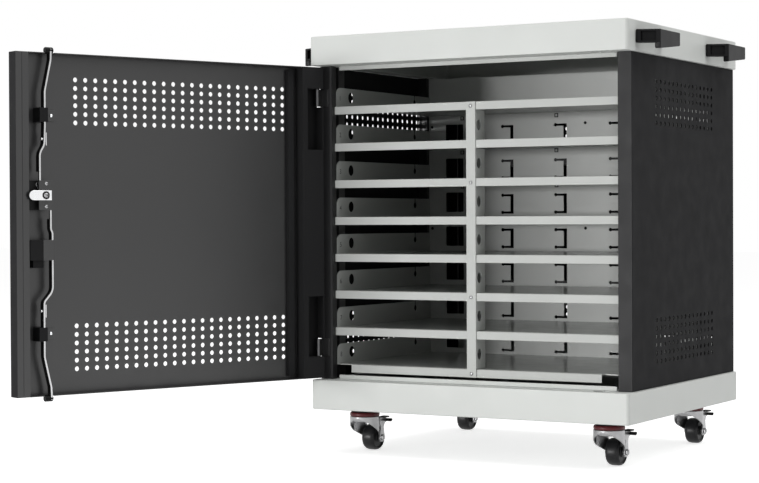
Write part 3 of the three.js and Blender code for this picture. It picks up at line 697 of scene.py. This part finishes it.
def shelf_clip(x, z):
    """A square spring nut at a shelf's rear edge; its frame is on blackened steel as a painted shadow
    outline.
    """
    outer, inner = (rounded(*around(x, half), *around(z, half), 0.6) for half in CLIP_HALVES)
    return slab("y", plate_low.y - 0.9, plate_low.y + 0.2, outer, [inner], edge=0.2)


make("cable_plate", cable_plate(), [PANEL], ["cable_panel"])
make("cable_plate_screws", joined(*[
    screw((x, z), plate_low.y, -1, 3) for x in PANEL_SCREW_X for z in PANEL_SCREW_Z
]), [DARK_STEEL_AND_SHADE])
# The clips' frames are on blackened steel as a painted shadow outline.
make("shelf_clips", joined(*[
    shelf_clip(x, shelf_top(level) - CLIP_DROP) for x in CLIP_COLUMNS for level in LEVELS
]), [DARK_STEEL_AND_SHADE])

# Power strips with recessed outlets
OUTLETS = [-175 + 50 * i for i in range(8)]
OUTLET_HALF_X = 14
OUTLET_HALF_Z = 12
OUTLET_DEPTH = 9
PIN_HALF = 1.2
PIN_SPREAD = 5


def power_strip(node):
    low, high = node_box(node)
    mid = (low.z + high.z) / 2
    floor = high.y - OUTLET_DEPTH
    outline = rounded(low.x, high.x, low.z, high.z, 5)
    body = slab("y", low.y, floor, outline, edge=0.8)
    wells = [rounded(*around(x, OUTLET_HALF_X), *around(mid, OUTLET_HALF_Z), 3) for x in OUTLETS]
    cover = slab("y", floor - 0.2, high.y, outline, wells, edge=0.8, hole_edge=0.6)
    pins = [slab("y", floor - 0.1, floor + 0.3, rounded(*around(pin_x, PIN_HALF), mid - 3, mid + 5, 0.8))
            for x in OUTLETS for pin_x in around(x, PIN_SPREAD)]
    return joined(body, cover, *tinted(1, *pins))


for which in ("upper", "lower"):
    make(f"outlet_bar_{which}", power_strip(f"power_strip_{which}"), [BLACK_NYLON_AND_SHADE, STEEL],
         [f"power_strip_{which}"])

# Push handles: moulded bails with a pocket in the front arm and a grip that drops towards the front
GRIP_THICK = 11
GRIP_Y = (16, 110)
GRIP_DROP = 10
BAIL_LENGTH = 127
BAIL_RISE = 14
POCKET_WALL = 3.5
handle_low, handle_high = node_box("handle_front_right")


def push_handle():
    foot, outer, y0 = handle_low.x, handle_high.x, handle_low.y
    inner, y1 = outer - GRIP_THICK, y0 + BAIL_LENGTH
    base, top = cap_low.z + BAIL_RISE, handle_high.z
    front, rear = y0 + GRIP_Y[0], y0 + GRIP_Y[1]
    bail = slab("z", base, top, fillet([
        (foot, y0), (outer, front), (outer, rear), (foot, y1), (foot, y1 - 14), (inner, rear - GRIP_THICK),
        (inner, front + GRIP_THICK), (foot, y0 + 14)], 3.5), edge=1.6)
    grip = slab("x", inner, outer, fillet([
        (front, base - GRIP_DROP), (rear, base), (rear, top - 0.4), (front, top - 0.4)], 2.5), edge=1.6)
    pocket = slab("z", base + POCKET_WALL, top - POCKET_WALL, fillet([
        (foot + 9, y0 - 2), (outer - 7, y0 + 6), (outer - 7, y0 + 22), (foot + 9, y0 + 11)], 1.5))
    return carved(combined(bail, grip, "UNION"), pocket)


handle_shell = push_handle()
for row in ("front", "rear"):
    step = Matrix.Translation((0, node_box(f"handle_{row}_right")[0].y - handle_low.y, 0))
    for side, place in (("right", step), ("left", MIRROR_X @ step)):
        make(f"bail_{row}_{side}", handle_shell.copy(), [BLACK_NYLON_AND_SHADE],
             [f"handle_{row}_{side}"], place=place)

# Casters, drawn at the front left and set at each corner; profiles are (radius, place along the axis)
SEAL_PROFILE = [(0, 68.4), (26.2, 68.4), (27.8, 69), (28.5, 70.4), (28.5, 73.4), (27.6, 75.4), (26, 76.4),
                (0, 76.4)]
RACE_PROFILE = [(0, 76.5), (24.6, 76.5), (25.5, 77.2), (25.5, 82), (26.8, 82.8), (26.8, 84.4), (26.4, 84.7),
                (0, 84.7)]
CROWN_PROFILE = [(0, 57.5), (19, 57.5), (22.5, 58.6), (25, 61), (26.4, 64), (28, 66.8), (27.4, 68), (0, 68)]
BOLT_HEAD = [(0, -21), (5, -20.6), (6.8, -19), (7, -16.6), (0, -16.6)]
HALF_WHEEL = [(4.4, -13), (8.5, -13), (9.2, -12.4), (9.6, -11), (12, -10.4), (18.6, -10.4), (19.4, -11.2),
              (19.8, -12.5), (20.6, -13), (22.2, -12.4), (24, -9.8), (24.8, -6.4), (25, 0)]
HUB_RADIUS = 19.4
FORK_Z = (14, 67.4)
FORK_CUT_Z = (13, 79)
FORK_OUTSIDE = (28.8, 16.5)
FORK_INSIDE = (27, 14.5)
swivel = joint_spot("swivel_front_left")
cx, cy = swivel.xy
axle_y, axle_z = joint_spot("roll_front_left").yz


def ring_on_swivel(profile):
    return turned("z", (cx, cy), profile, 40)


def fork_plan(radius, leg, rear):
    """The fork's sheet from above: round at the front, drawn in to two parallel legs."""
    front = arc(cx, cy, radius, -190, 10, 32)
    drawn_in = axle_y - 6
    return front + [(cx + leg, drawn_in), (cx + leg, rear), (cx - leg, rear), (cx - leg, drawn_in)]


def caster_fork():
    wrap = carved(slab("z", *FORK_Z, fork_plan(*FORK_OUTSIDE, axle_y + 12)),
                  slab("z", *FORK_CUT_Z, fork_plan(*FORK_INSIDE, axle_y + 14)))
    leading = fillet([(cy - 30, 78), (cy - 30, 64.5), (cy - 14, 52), (cy + 5, 38), (axle_y - 9, 27)], 8, 6,
                     closed=False)
    eye = arc(axle_y, axle_z, 9, 200, 365, 12)
    side_view = leading + eye + [(axle_y + 6, 42), (cy + 28, 56), (cy + 25, 78)]
    sheet = combined(wrap, slab("x", cx - 30, cx + 30, side_view), "INTERSECT")
    bolt = soft_rod("x", (axle_y, axle_z), 3.4, cx - 20.6, cx + 24.4)
    nut = slab("x", cx + 20.7, cx + 23.4, circle(axle_y, axle_z, 5.8, 6), edge=0.7)
    head = turned("x", (axle_y, axle_z), BOLT_HEAD, 24, cx)
    return joined(ring_on_swivel(CROWN_PROFILE), sheet, bolt, nut, head)


def caster_wheel():
    profile = HALF_WHEEL + [(r, -w) for r, w in HALF_WHEEL[-2::-1]]
    wheel = turned("x", (axle_y, axle_z), profile, 48, cx, closed=True)
    for face in wheel.faces:
        middle = face.calc_center_median()
        face.material_index = 1 if math.hypot(middle.y - axle_y, middle.z - axle_z) < HUB_RADIUS else 0
    return wheel


def caster_brake():
    """The brake's plate beside the fork, with its two pedal tabs."""
    y = axle_y
    inside, outside = cx + 18.2, cx + 20.2
    outline = fillet([
        (y - 8, 19), (y, 15.8), (y + 8, 19), (y + 8, 32), (y + 6, 45), (y + 10, 52), (y + 17, 54),
        (y + 17, 61), (y + 8, 66), (y - 9, 66), (y - 9, 53), (y - 5, 45), (y - 8, 32)], 4)
    plate = slab("x", inside, outside, outline, [circle(y, axle_z, 4.6)], edge=0.4)
    on_tab = slab("x", inside, outside + 11, fillet(rectangle(y - 9, y + 9, 63.6, 66.4), 1), edge=0.5)
    off_tab = slab("x", inside, outside + 13, fillet(
        [(y + 12, 54.5), (y + 17, 56.5), (y + 17, 61), (y + 12, 58)], 0.8), edge=0.5)
    return joined(plate, *tinted(1, on_tab, off_tab))


# The race ring is on blackened steel as painted shade under the dust seal.
CASTER_PIECES = (
    ("seal_ring_{}", ring_on_swivel(SEAL_PROFILE), [SEAL], "cabinet", "seal_plastic", ["caster_head_{}"]),
    ("race_ring_{}", ring_on_swivel(RACE_PROFILE), [DARK_STEEL_AND_SHADE], "cabinet", "zinc_steel", []),
    ("fork_{}", caster_fork(), [STEEL], "fork_{}", "zinc_steel", ["caster_fork_{}"]),
    ("wheel_{}", caster_wheel(), [RUBBER, HUB], "wheel_{}", "wheel_rubber", ["caster_wheel_{}"]),
    ("brake_{}", caster_brake(), [STEEL, BLACK_NYLON_AND_SHADE], "brake_{}", "zinc_steel", ["caster_brake_{}"]),
)
for corner in ("front_left", "front_right", "rear_left", "rear_right"):
    place = Matrix.Translation(joint_spot(f"swivel_{corner}") - swivel)
    for name, shell, finishes, body, slot, nodes in CASTER_PIECES:
        make(name.format(corner), shell.copy(), finishes, [node.format(corner) for node in nodes],
             body.format(corner), place)

# Door hinges on the left post; their barrels, pins and arms are on steel darkened as painted shade
PIN_LENGTH = 6
BARREL_RADIUS = 4.5
PIN_RADIUS = 2.6
ARM_HALF_THICK = 1.5


def hinge(node, pin_up):
    low, high = node_box(node)
    z = (low.z, high.z - PIN_LENGTH) if pin_up else (low.z + PIN_LENGTH, high.z)
    pin_z = (z[1] - 1, high.z) if pin_up else (low.z, z[0] + 1)
    barrel = soft_rod("z", pivot.xy, BARREL_RADIUS, *z)
    pin = soft_rod("z", pivot.xy, PIN_RADIUS, *pin_z)
    arm = block(around(pivot.x, ARM_HALF_THICK), (pivot.y, high.y), z, 0.2)
    leaf = block((pivot.x + ARM_HALF_THICK + 0.1, high.x), (high.y - 2, high.y), z, 0.4)
    return joined(barrel, pin, arm, *tinted(1, leaf))


for which in ("upper", "lower"):
    make(f"hinge_leaf_{which}", hinge(f"hinge_{which}", which == "upper"), [HINGE_STEEL_PAINTED_SHADE, SATIN],
         [f"hinge_{which}"])

# Front door: perforated skin, folded free edge, flanges at top and bottom, and the hinge box
LIP_X = door_half - 23
LIP_TURN = 10
GROOVE = (door_half - 11, door_half - 12.2)
GROOVE_DEPTH = 0.8
BOX_X = -door_half + 48
POCKET_X = -door_half + 37
POCKET_FLOOR = door_face + 4
POCKETS = ((185, 300), (578, 694))
ARM_SLOT_ENDS = (219.5, 659.5)
RIDGE_X = (BOX_X + 11, BOX_X + 23)
NOTCH_HALF_X = 9.5
DOOR_COLUMNS = 23
LAST_VENT_X = door_half - 127
SPINDLE_HOLE = 9
FOLD_Y = skin_back - 0.6


def door_pan():
    z = door_z
    vents = vent_field(LAST_VENT_X - (DOOR_COLUMNS - 1) * VENT_PITCH_U, DOOR_COLUMNS, 16)
    skin = slab("y", door_face, skin_back, rounded(-door_half, door_half, *z, 1.5, 3),
                vents + [circle(lock_x, lock_z, SPINDLE_HOLE)], edge=0.6)
    groove_floor = door_back - GROOVE_DEPTH
    free_edge = slab("z", z[0] + 0.4, z[1] - 0.4, fillet([
        (door_half, FOLD_Y), (door_half, door_back), (GROOVE[0], door_back), (GROOVE[0], groove_floor),
        (GROOVE[1], groove_floor), (GROOVE[1], door_back), (LIP_X - THIN, door_back),
        (LIP_X - THIN, door_back - LIP_TURN), (LIP_X, door_back - LIP_TURN), (LIP_X, door_back - THIN),
        (door_half - THIN, door_back - THIN), (door_half - THIN, FOLD_Y),
    ], 0.5, 2), edge=0.2)
    flanges = [door_flange(z0, bolt_x) for z0, bolt_x in (
        (z[0] + 0.2, BOLT_X["lower"]), (z[1] - THIN - 0.2, BOLT_X["upper"]))]
    return joined(tinted_side(skin, (0, -1, 0), 1), tinted_side(free_edge, (1, 0, 0), 1), *flanges,
                  *hinge_box())


def door_flange(z0, bolt_x):
    """A flange across the door, notched where a lock rod's end passes it."""
    left, right = around(bolt_x, NOTCH_HALF_X)
    notch_y = BOLT_Y - 8
    return slab("z", z0, z0 + THIN, [
        (BOX_X, FOLD_Y), (LIP_X - THIN, FOLD_Y), (LIP_X - THIN, door_back),
        (right, door_back), (right, notch_y), (left, notch_y), (left, door_back), (BOX_X, door_back),
    ], edge=0.3)


def hinge_box():
    """The box along the hinge side, with an open pocket at each hinge and a ridge beside it; the pocket
    floors and the cheeks' faces into the pockets are black as painted shade.
    """
    z = door_z
    whole = fillet(rectangle(-door_half, BOX_X, FOLD_Y, door_back), 1.2, 3)
    spans = [(z[0] + 0.2, POCKETS[0][0]), (POCKETS[0][1], POCKETS[1][0]), (POCKETS[1][1], z[1] - 0.2)]
    solids = [slab("z", *span, whole, edge=0.4) for span in spans]
    open_spans = [(low - 0.3, high + 0.3) for low, high in POCKETS]
    cheek = rectangle(POCKET_X, BOX_X, POCKET_FLOOR, door_back)
    # The cheeks' faces into the pockets and the pocket floors are black as painted shade.
    cheeks = [tinted_side(slab("z", *span, cheek), (-1, 0, 0), 2, 1) for span in open_spans]
    floors = [block((-door_half + 0.2, BOX_X), (skin_back - 0.4, POCKET_FLOOR), span, 0.1)
              for span in open_spans]
    edges = [block((-door_half + 0.2, -door_half + THIN), (POCKET_FLOOR - 0.2, door_back), span, 0.2)
             for span in ((ARM_SLOT_ENDS[0], open_spans[0][1]), (open_spans[1][0], ARM_SLOT_ENDS[1]))]
    ridge = block(RIDGE_X, (skin_back - 0.4, skin_back + 8), (z[0] + 6, z[1] - 6), 0.9)
    return [*tinted(1, *solids, *edges, ridge), *cheeks, *tinted(2, *floors)]


# The door pan's third finish, black, is painted shade inside the hinge pockets.
make("door_pan", door_pan(), [SATIN, CHARCOAL, BLACK_NYLON_AND_SHADE], ["door_panel"], "front_door", DOOR)

# Three-point lock: case, tongue, rods, guides and keeper; a y is a plane inside the closed door
CASE_BACK = skin_back + GAP
CASE_FRONT = -258
CASE_HALF = 25.5
CASE_LEFT = lock_x - 19
COVER_Y = (-249.9, -248.4)
LOBE_Y = (-257.5, -255)
BLADE_Y = (-244.8, -241.6)
LOBE = Vector((7.5, 18.5))
BLADE_HALF = 8.5
ROD_THICK = 3.2
ROD_FRONT = -250.3
ROD_BACK = ROD_FRONT - 12
STRIP_BACK = -254.6
ROLLER = [(0, -7.5), (4.6, -7.5), (5.5, -6.4), (5.5, 6.4), (4.6, 7.5), (0, 7.5)]
SLEEVE_FACE = ROD_FRONT + 1.9
TUNNEL_HALF = ROD_THICK / 2 + 0.6
GUIDES = {"upper": (55.3, (615, 640)), "lower": (52.1, (239, 263))}
KEEPER_FROM_EDGE = 68.6
KEEPER_Z = (378, 413)
SKIRT_FRONT = -262
SKIRT_LOW = 365


def lock_case():
    z = around(lock_z, CASE_HALF)
    body = block((CASE_LEFT, lock_x + 26.5), (CASE_BACK, CASE_FRONT), z, 0.6)
    cover = slab("y", *COVER_Y, rounded(CASE_LEFT, lock_x + 10, *z, 1.5),
                 [circle(lock_x, lock_z, 8.4, 24)], edge=0.3)
    pillars = [block((CASE_LEFT, CASE_LEFT + 2.4), (CASE_FRONT, COVER_Y[0]), (z0, z0 + 3.5), 0.2)
               for z0 in (z[0], z[1] - 3.5)]
    screws = [screw((lock_x - 4, lock_z + dz), COVER_Y[1], 1, 3.4) for dz in (20, -19.2)]
    return joined(*tinted(1, body), cover, *tinted(1, *pillars), *tinted(2, *screws))


def lock_tongue():
    centre = (lock_x, lock_z)
    face = BLADE_Y[1]
    spindle = soft_rod("y", centre, 8, door_face - 6.2, face)
    lobes = slab("y", *LOBE_Y, arc(lock_x - LOBE.x, lock_z - LOBE.y, 5, 190, 310, 6)
                 + arc(lock_x + LOBE.x, lock_z + LOBE.y, 5, 10, 130, 6), edge=0.3)
    root = [(lock_x - 11, lock_z + BLADE_HALF), (lock_x - 11, lock_z - BLADE_HALF)]
    blade = slab("y", *BLADE_Y, root + arc(lock_x + 23, lock_z, BLADE_HALF, -90, 90, 10), edge=0.8)
    fixing = screw(centre, face, 1, 4.6)
    washer = turned("y", centre, [(4.4, -0.2), (6.6, -0.2), (6.6, 0.3), (4.4, 0.5)], 24, face, closed=True)
    return joined(spindle, lobes, blade, *tinted(1, fixing), *tinted(2, washer))


make("lock_case", lock_case(), [SATIN, BLACK_NYLON_AND_SHADE, STEEL], ["lock_housing"], "front_door",
     DOOR)
make("lock_tongue", lock_tongue(), [CHROME, STEEL, DARK_STEEL_AND_SHADE], ["lock_cam"], "lock", DOOR)


def bent_bar(path, back):
    """A bar on edge along a path of (distance from the free edge, height); its front face is on bright zinc
    as a painted highlight.
    """
    points = fillet([(door_half - s, z) for s, z in path], 22, 5, closed=False)
    return tinted_side(slab("y", back, ROD_FRONT, band(points, ROD_THICK), edge=0.4), (0, 1, 0), 1)


def lock_rod(path, full_from, x, bolt_z, rivet):
    """A flat bar on edge with a narrow strip under the lock, a roller at its end and a riveted splice."""
    start = path[0]
    strip = bent_bar([start, (start[0], full_from)], STRIP_BACK)
    bar = bent_bar([(start[0], full_from), *path[1:]], ROD_BACK)
    roller = turned("x", (BOLT_Y, bolt_z), ROLLER, 24, x)
    rivet_x, rivet_z = door_half - rivet[0], rivet[1]
    pin = soft_rod("x", (ROD_FRONT - 5, rivet_z), 3, rivet_x - 4.5, rivet_x + 5.5)
    splice = block((rivet_x - 4, rivet_x - 2), (ROD_BACK + 1, ROD_FRONT - 0.4), around(rivet_z, 11), 0.3)
    return joined(strip, bar, roller, *tinted(1, pin, splice))


UPPER_PATH = [(45.3, lock_z + 21), (45.3, 562), (54, 576), (55.3, 610), (55.3, 668), (67, 722), (67.5, 741)]
LOWER_PATH = [(65.5, lock_z - 21), (65.5, 431), (68.6, 425.5), (68.6, 325), (53, 307.5), (52.1, 303),
              (52.1, 212), (64.5, 160), (65.5, 138)]
RODS = {
    "upper": lock_rod(UPPER_PATH, full_from=530, x=BOLT_X["upper"], bolt_z=738.5, rivet=(54.6, 586)),
    "lower": lock_rod(LOWER_PATH, full_from=449, x=BOLT_X["lower"], bolt_z=140.5, rivet=(52.1, 291)),
}
# Each rod's front face is on bright zinc as a painted highlight.
for which, rod in RODS.items():
    make(f"rod_{which}_bar", rod, [DARK_STEEL_AND_SHADE, BRIGHT_STEEL_AND_HIGHLIGHT], [f"{which}_rod"],
         f"{which}_rod", DOOR)


def rod_sleeve(x, left, right, z):
    """The walls, floor and cover around a rod's tunnel."""
    walls = [block(span, (CASE_BACK, SLEEVE_FACE), z, 0.5)
             for span in ((left, x - TUNNEL_HALF), (x + TUNNEL_HALF, right))]
    inner = around(x, TUNNEL_HALF + 0.2)
    inner_z = (z[0] + 0.3, z[1] - 0.3)
    floor = block(inner, (CASE_BACK, ROD_BACK - 0.6), inner_z, 0.1)
    cover = block(inner, (ROD_FRONT + 0.6, SLEEVE_FACE - 0.1), inner_z, 0.1)
    return walls + [floor, cover]


def rod_guide(from_edge, z):
    x = door_half - from_edge
    foot_face = CASE_BACK + 2.5
    foot = block((x - 30, x - 4.8), (CASE_BACK, foot_face), (z[0] + 3, z[1] - 3), 0.5)
    fixing = screw((x - 22.5, (z[0] + z[1]) / 2), foot_face, 1, 3.2)
    return joined(*rod_sleeve(x, x - 5, x + 10.5, z), *tinted(2, foot), *tinted(1, fixing))


def rod_keeper():
    x = door_half - KEEPER_FROM_EDGE
    z = KEEPER_Z
    face_right = door_half - 50
    front = tinted(1, *rod_sleeve(x, x - 5, face_right, z))
    rest = block((face_right - 0.2, door_half - 25.2), (CASE_BACK, SLEEVE_FACE - 0.4), z, 0.6)
    skirt = block((door_half - 57, door_half - 37), (CASE_BACK, SKIRT_FRONT), (SKIRT_LOW, z[0] + 0.5), 0.6)
    return joined(*front, rest, skirt)


for which, place in GUIDES.items():
    make(f"guide_{which}", rod_guide(*place), [BLACK_NYLON_AND_SHADE, CHROME, SATIN],
         [f"rod_guide_{which}"], "front_door", DOOR)
make("keeper_block", rod_keeper(), [BLACK_NYLON_AND_SHADE, SATIN], ["rod_keeper"], "front_door", DOOR)

# Outside of the door: rosette, lever and key barrel
ROSE_HEIGHT = 6
LEVER_HEIGHT = 15
LEVER_LENGTH = 112
KEYWAY_HALF_X = 0.9
KEYWAY_HALF_Z = 4.5
rose_face = door_face - ROSE_HEIGHT
lever_face = rose_face - LEVER_HEIGHT


def rosette():
    foot = ROSE_HEIGHT - GAP
    profile = [(8.6, 0.4), (9, 0), (23, 0), (24.6, 0.7), (25, 2.4), (25, foot), (8.6, foot)]
    return turned("y", (lock_x, lock_z), profile, 48, rose_face, closed=True)


def lever():
    foot = LEVER_HEIGHT - 0.5
    profile = [(0, 9), (7.4, 9), (7.4, 0.4), (7.9, 0), (15, 0), (16.6, 0.9), (17, 3), (17, foot), (0, foot)]
    hub = turned("y", (lock_x, lock_z), profile, 40, lever_face)
    outline = [(lock_x - 11.5, lock_z - 13), *arc(lock_x, lock_z - LEVER_LENGTH, 9, 180, 360, 10),
               (lock_x + 11.5, lock_z - 13)]
    return joined(hub, slab("y", lever_face + 2, rose_face - 4, outline, edge=2.2))


def keyway(x, y, z):
    """A cutter for a keyhole."""
    return block(around(x, KEYWAY_HALF_X), y, around(z, KEYWAY_HALF_Z), 0.2)


def key_barrel():
    profile = [(0, 8.7), (7, 8.7), (7, -0.9), (6.3, -1.5), (0, -1.5)]
    rim = turned("y", (lock_x, lock_z), profile, 32, lever_face)
    return carved(rim, keyway(lock_x, (lever_face - 3, lever_face + 2), lock_z))


make("rosette", rosette(), [BLACK_NYLON_AND_SHADE], ["handle_rose"], "front_door", DOOR)
make("lever_grip", lever(), [BLACK_NYLON_AND_SHADE], ["lock_lever"], "lock", DOOR)
make("key_barrel", key_barrel(), [CHROME], ["key_cylinder"], "key", DOOR)

# Rear: the lower panel with its inlet, and the perforated service door with its cam lock
REAR_Z = (209, 736.5)
FIRST_REAR_VENT = -220
REAR_COLUMNS = 23
REAR_BORDER = 8
REAR_PIN_RADIUS = 2.5
WELL_DEPTH = 12
inlet_low, inlet_high = node_box("power_inlet")
inlet_x, inlet_z = (inlet_low.x + inlet_high.x) / 2, (inlet_low.z + inlet_high.z) / 2
rear_lock_spot = joint_spot("rear_lock_turn")
rear_pivot = joint_spot("rear_door_hinge")


def rear_sill():
    low, high = node_box("rear_lower_panel")
    outline = rectangle(low.x, high.x, low.z, high.z)
    opening = rounded(*around(inlet_x, 24), *around(inlet_z, 14), 2)
    face = slab("y", high.y - SHEET, high.y, outline, [opening], edge=0.4)
    folds = [block((low.x, high.x), (low.y, high.y - SHEET), (z0, z0 + SHEET), 0.3)
             for z0 in (low.z, high.z - SHEET)]
    return joined(face, *folds)


def inlet():
    x, z = inlet_x, inlet_z
    rim_face, well_floor = inlet_high.y, inlet_low.y + WELL_DEPTH
    mouth = fillet([(x - 14, z - 10), (x + 14, z - 10), (x + 14, z + 6), (x + 10, z + 10), (x - 10, z + 10),
                    (x - 14, z + 6)], 1.2)
    rim_outline = rounded(inlet_low.x, inlet_high.x, inlet_low.z, inlet_high.z, 4)
    rim = slab("y", rim_face - 2.5, rim_face, rim_outline, [mouth], edge=0.7)
    wide, tall = around(x, 23), around(z, 13)
    well = slab("y", well_floor, rim_face - 2.4, rounded(*wide, *tall, 1.5), [mouth])
    floor = block(wide, (inlet_low.y, well_floor + 0.2), tall, 0.5)
    pins = [block(around(x + dx, 1), (well_floor, rim_face - 5), around(z + dz, 2.2), 0.3)
            for dx, dz in ((-7, -3), (0, 3), (7, -3))]
    screws = [screw((x + dx, z), rim_face - 1.6, 1, 2.4) for dx in (-27, 27)]
    return joined(rim, well, floor, *tinted(1, *pins, *screws))


def rear_door():
    face, inner, x = rear_high.y, rear_low.y, rear_high.x
    low, high = REAR_Z
    lock_hole = circle(rear_lock_spot.x, rear_lock_spot.z, 9.4, 24)
    vents = [hole for hole in vent_field(FIRST_REAR_VENT, REAR_COLUMNS)
             if min(v for u, v in hole) > low + REAR_BORDER]
    skin = slab("y", face - THIN, face, rounded(-x, x, low, high, 1.5, 3), vents + [lock_hole], edge=0.5)
    folds = [block((-x + 0.2, x - 0.2), (inner, face - THIN), (z0, z0 + THIN), 0.3)
             for z0 in (low + 0.2, high - THIN - 0.2)]
    cheeks = [block((x0, x0 + THIN), (inner, face - THIN), (low + THIN, high - THIN), 0.3)
              for x0 in (-x + 0.2, x - THIN - 0.2)]
    pins = [soft_rod("z", rear_pivot.xy, REAR_PIN_RADIUS, z0, z1)
            for z0, z1 in ((rear_low.z, low + 1), (high - 1, rear_high.z))]
    return joined(skin, *folds, *cheeks, *tinted(1, *pins))


def rear_lock():
    x, z = rear_lock_spot.x, rear_lock_spot.z
    face, inner = rear_high.y, rear_low.y
    cam_back = inner - 4
    back = cam_back - face
    profile = [(0, back), (9, back), (9, 0.3), (12, 0.3), (12, 1.8), (11, 2.8), (0, 2.8)]
    barrel = turned("y", (x, z), profile, 36, face)
    tip = arc(x, z - 26, 6.5, 180, 360, 8)
    cam = slab("y", cam_back, inner - 1.5, [
        (x - 8, z + 8), (x - 8, z - 22), *tip, (x + 8, z - 22), (x + 8, z + 8)], edge=0.3)
    return joined(carved(barrel, keyway(x, (face + 1.4, face + 4), z)), cam)


make("rear_sill", rear_sill(), [LIGHT], ["rear_lower_panel"])
make("inlet_socket", inlet(), [BLACK_NYLON_AND_SHADE, STEEL], ["power_inlet"])
make("rear_pan", rear_door(), [CHARCOAL, STEEL], ["rear_door"], "rear_door")
make("rear_cam_lock", rear_lock(), [CHROME], ["rear_lock"], "rear_lock")

# Floor, light and camera, in metres, watts and degrees; the lens and its sensor are in millimetres
FLOOR_SIZE = 40
FLOOR_GLOW = 0.70
AMBIENT = 0.31
WHITE = (1, 1, 1, 1)
FLOOR_WHITE = (0.9, 0.9, 0.9, 1)
CAMERA_PLACE = (1.6204, -3.3596, 0.4473)
CAMERA_TURN = (30.18329, -0.690083, -0.264304)
CAMERA_LENS = 90.85
SENSOR_WIDTH = 36


def seen_strength(tree, unseen, seen):
    """One strength for camera, glossy and transmission rays, and another for the rest."""
    rays = tree.nodes.new("ShaderNodeLightPath")
    direct = rays.outputs["Is Camera Ray"]
    for kind in ("Is Glossy Ray", "Is Transmission Ray"):
        either = tree.nodes.new("ShaderNodeMath")
        either.operation = "MAXIMUM"
        tree.links.new(direct, either.inputs[0])
        tree.links.new(rays.outputs[kind], either.inputs[1])
        direct = either.outputs["Value"]
    strength = tree.nodes.new("ShaderNodeMapRange")
    strength.inputs["To Min"].default_value = unseen
    strength.inputs["To Max"].default_value = seen
    tree.links.new(direct, strength.inputs["Value"])
    return strength.outputs["Result"]


def stage_floor():
    bpy.ops.mesh.primitive_plane_add(size=FLOOR_SIZE)
    floor = bpy.context.object
    floor.name = "studio_floor"
    material = bpy.data.materials.new("studio_white")
    material.use_nodes = True
    tree = material.node_tree
    shader = tree.nodes["Principled BSDF"]
    shader.inputs["Base Color"].default_value = FLOOR_WHITE
    shader.inputs["Roughness"].default_value = 0.9
    shader.inputs["Specular IOR Level"].default_value = 0.0
    shader.inputs["Emission Color"].default_value = WHITE
    tree.links.new(seen_strength(tree, 0.0, FLOOR_GLOW), shader.inputs["Emission Strength"])
    floor.data.materials.append(material)


def world_light():
    world = bpy.data.worlds.new("studio")
    scene.world = world
    world.use_nodes = True
    tree = world.node_tree
    background = tree.nodes["Background"]
    background.inputs["Color"].default_value = WHITE
    tree.links.new(seen_strength(tree, AMBIENT, 1.0), background.inputs["Strength"])


def area_light(name, place, target, size, watts):
    data = bpy.data.lights.new(name, "AREA")
    data.shape = "RECTANGLE"
    data.size, data.size_y = size
    data.energy = watts
    lamp = bpy.data.objects.new(name, data)
    lamp.location = place
    lamp.rotation_euler = (Vector(target) - Vector(place)).to_track_quat("-Z", "Y").to_euler()
    scene.collection.objects.link(lamp)


def photo_camera():
    data = bpy.data.cameras.new("photo_camera")
    data.sensor_fit = "HORIZONTAL"
    data.sensor_width = SENSOR_WIDTH
    data.lens = CAMERA_LENS
    camera = bpy.data.objects.new("photo_camera", data)
    yaw, pitch, roll = (math.radians(angle) for angle in CAMERA_TURN)
    turn = (Matrix.Rotation(yaw, 4, "Z") @ Matrix.Rotation(math.pi / 2 + pitch, 4, "X")
            @ Matrix.Rotation(roll, 4, "Z"))
    camera.matrix_world = Matrix.Translation(CAMERA_PLACE) @ turn
    scene.collection.objects.link(camera)
    scene.camera = camera


stage_floor()
world_light()
area_light("key_softbox", (-4.31, -9.03, 0.45), (0.0, -0.2, 0.45), (2.8, 0.5), 400)
area_light("right_softbox", (2.4, 0.3, 2.8), (0.3, 0.0, 0.3), (1.6, 1.6), 20)
area_light("top_softbox", (0.2, -0.6, 3.6), (0.0, -0.2, 0.0), (4.0, 4.0), 70)
photo_camera()
scene.view_settings.view_transform = "Standard"
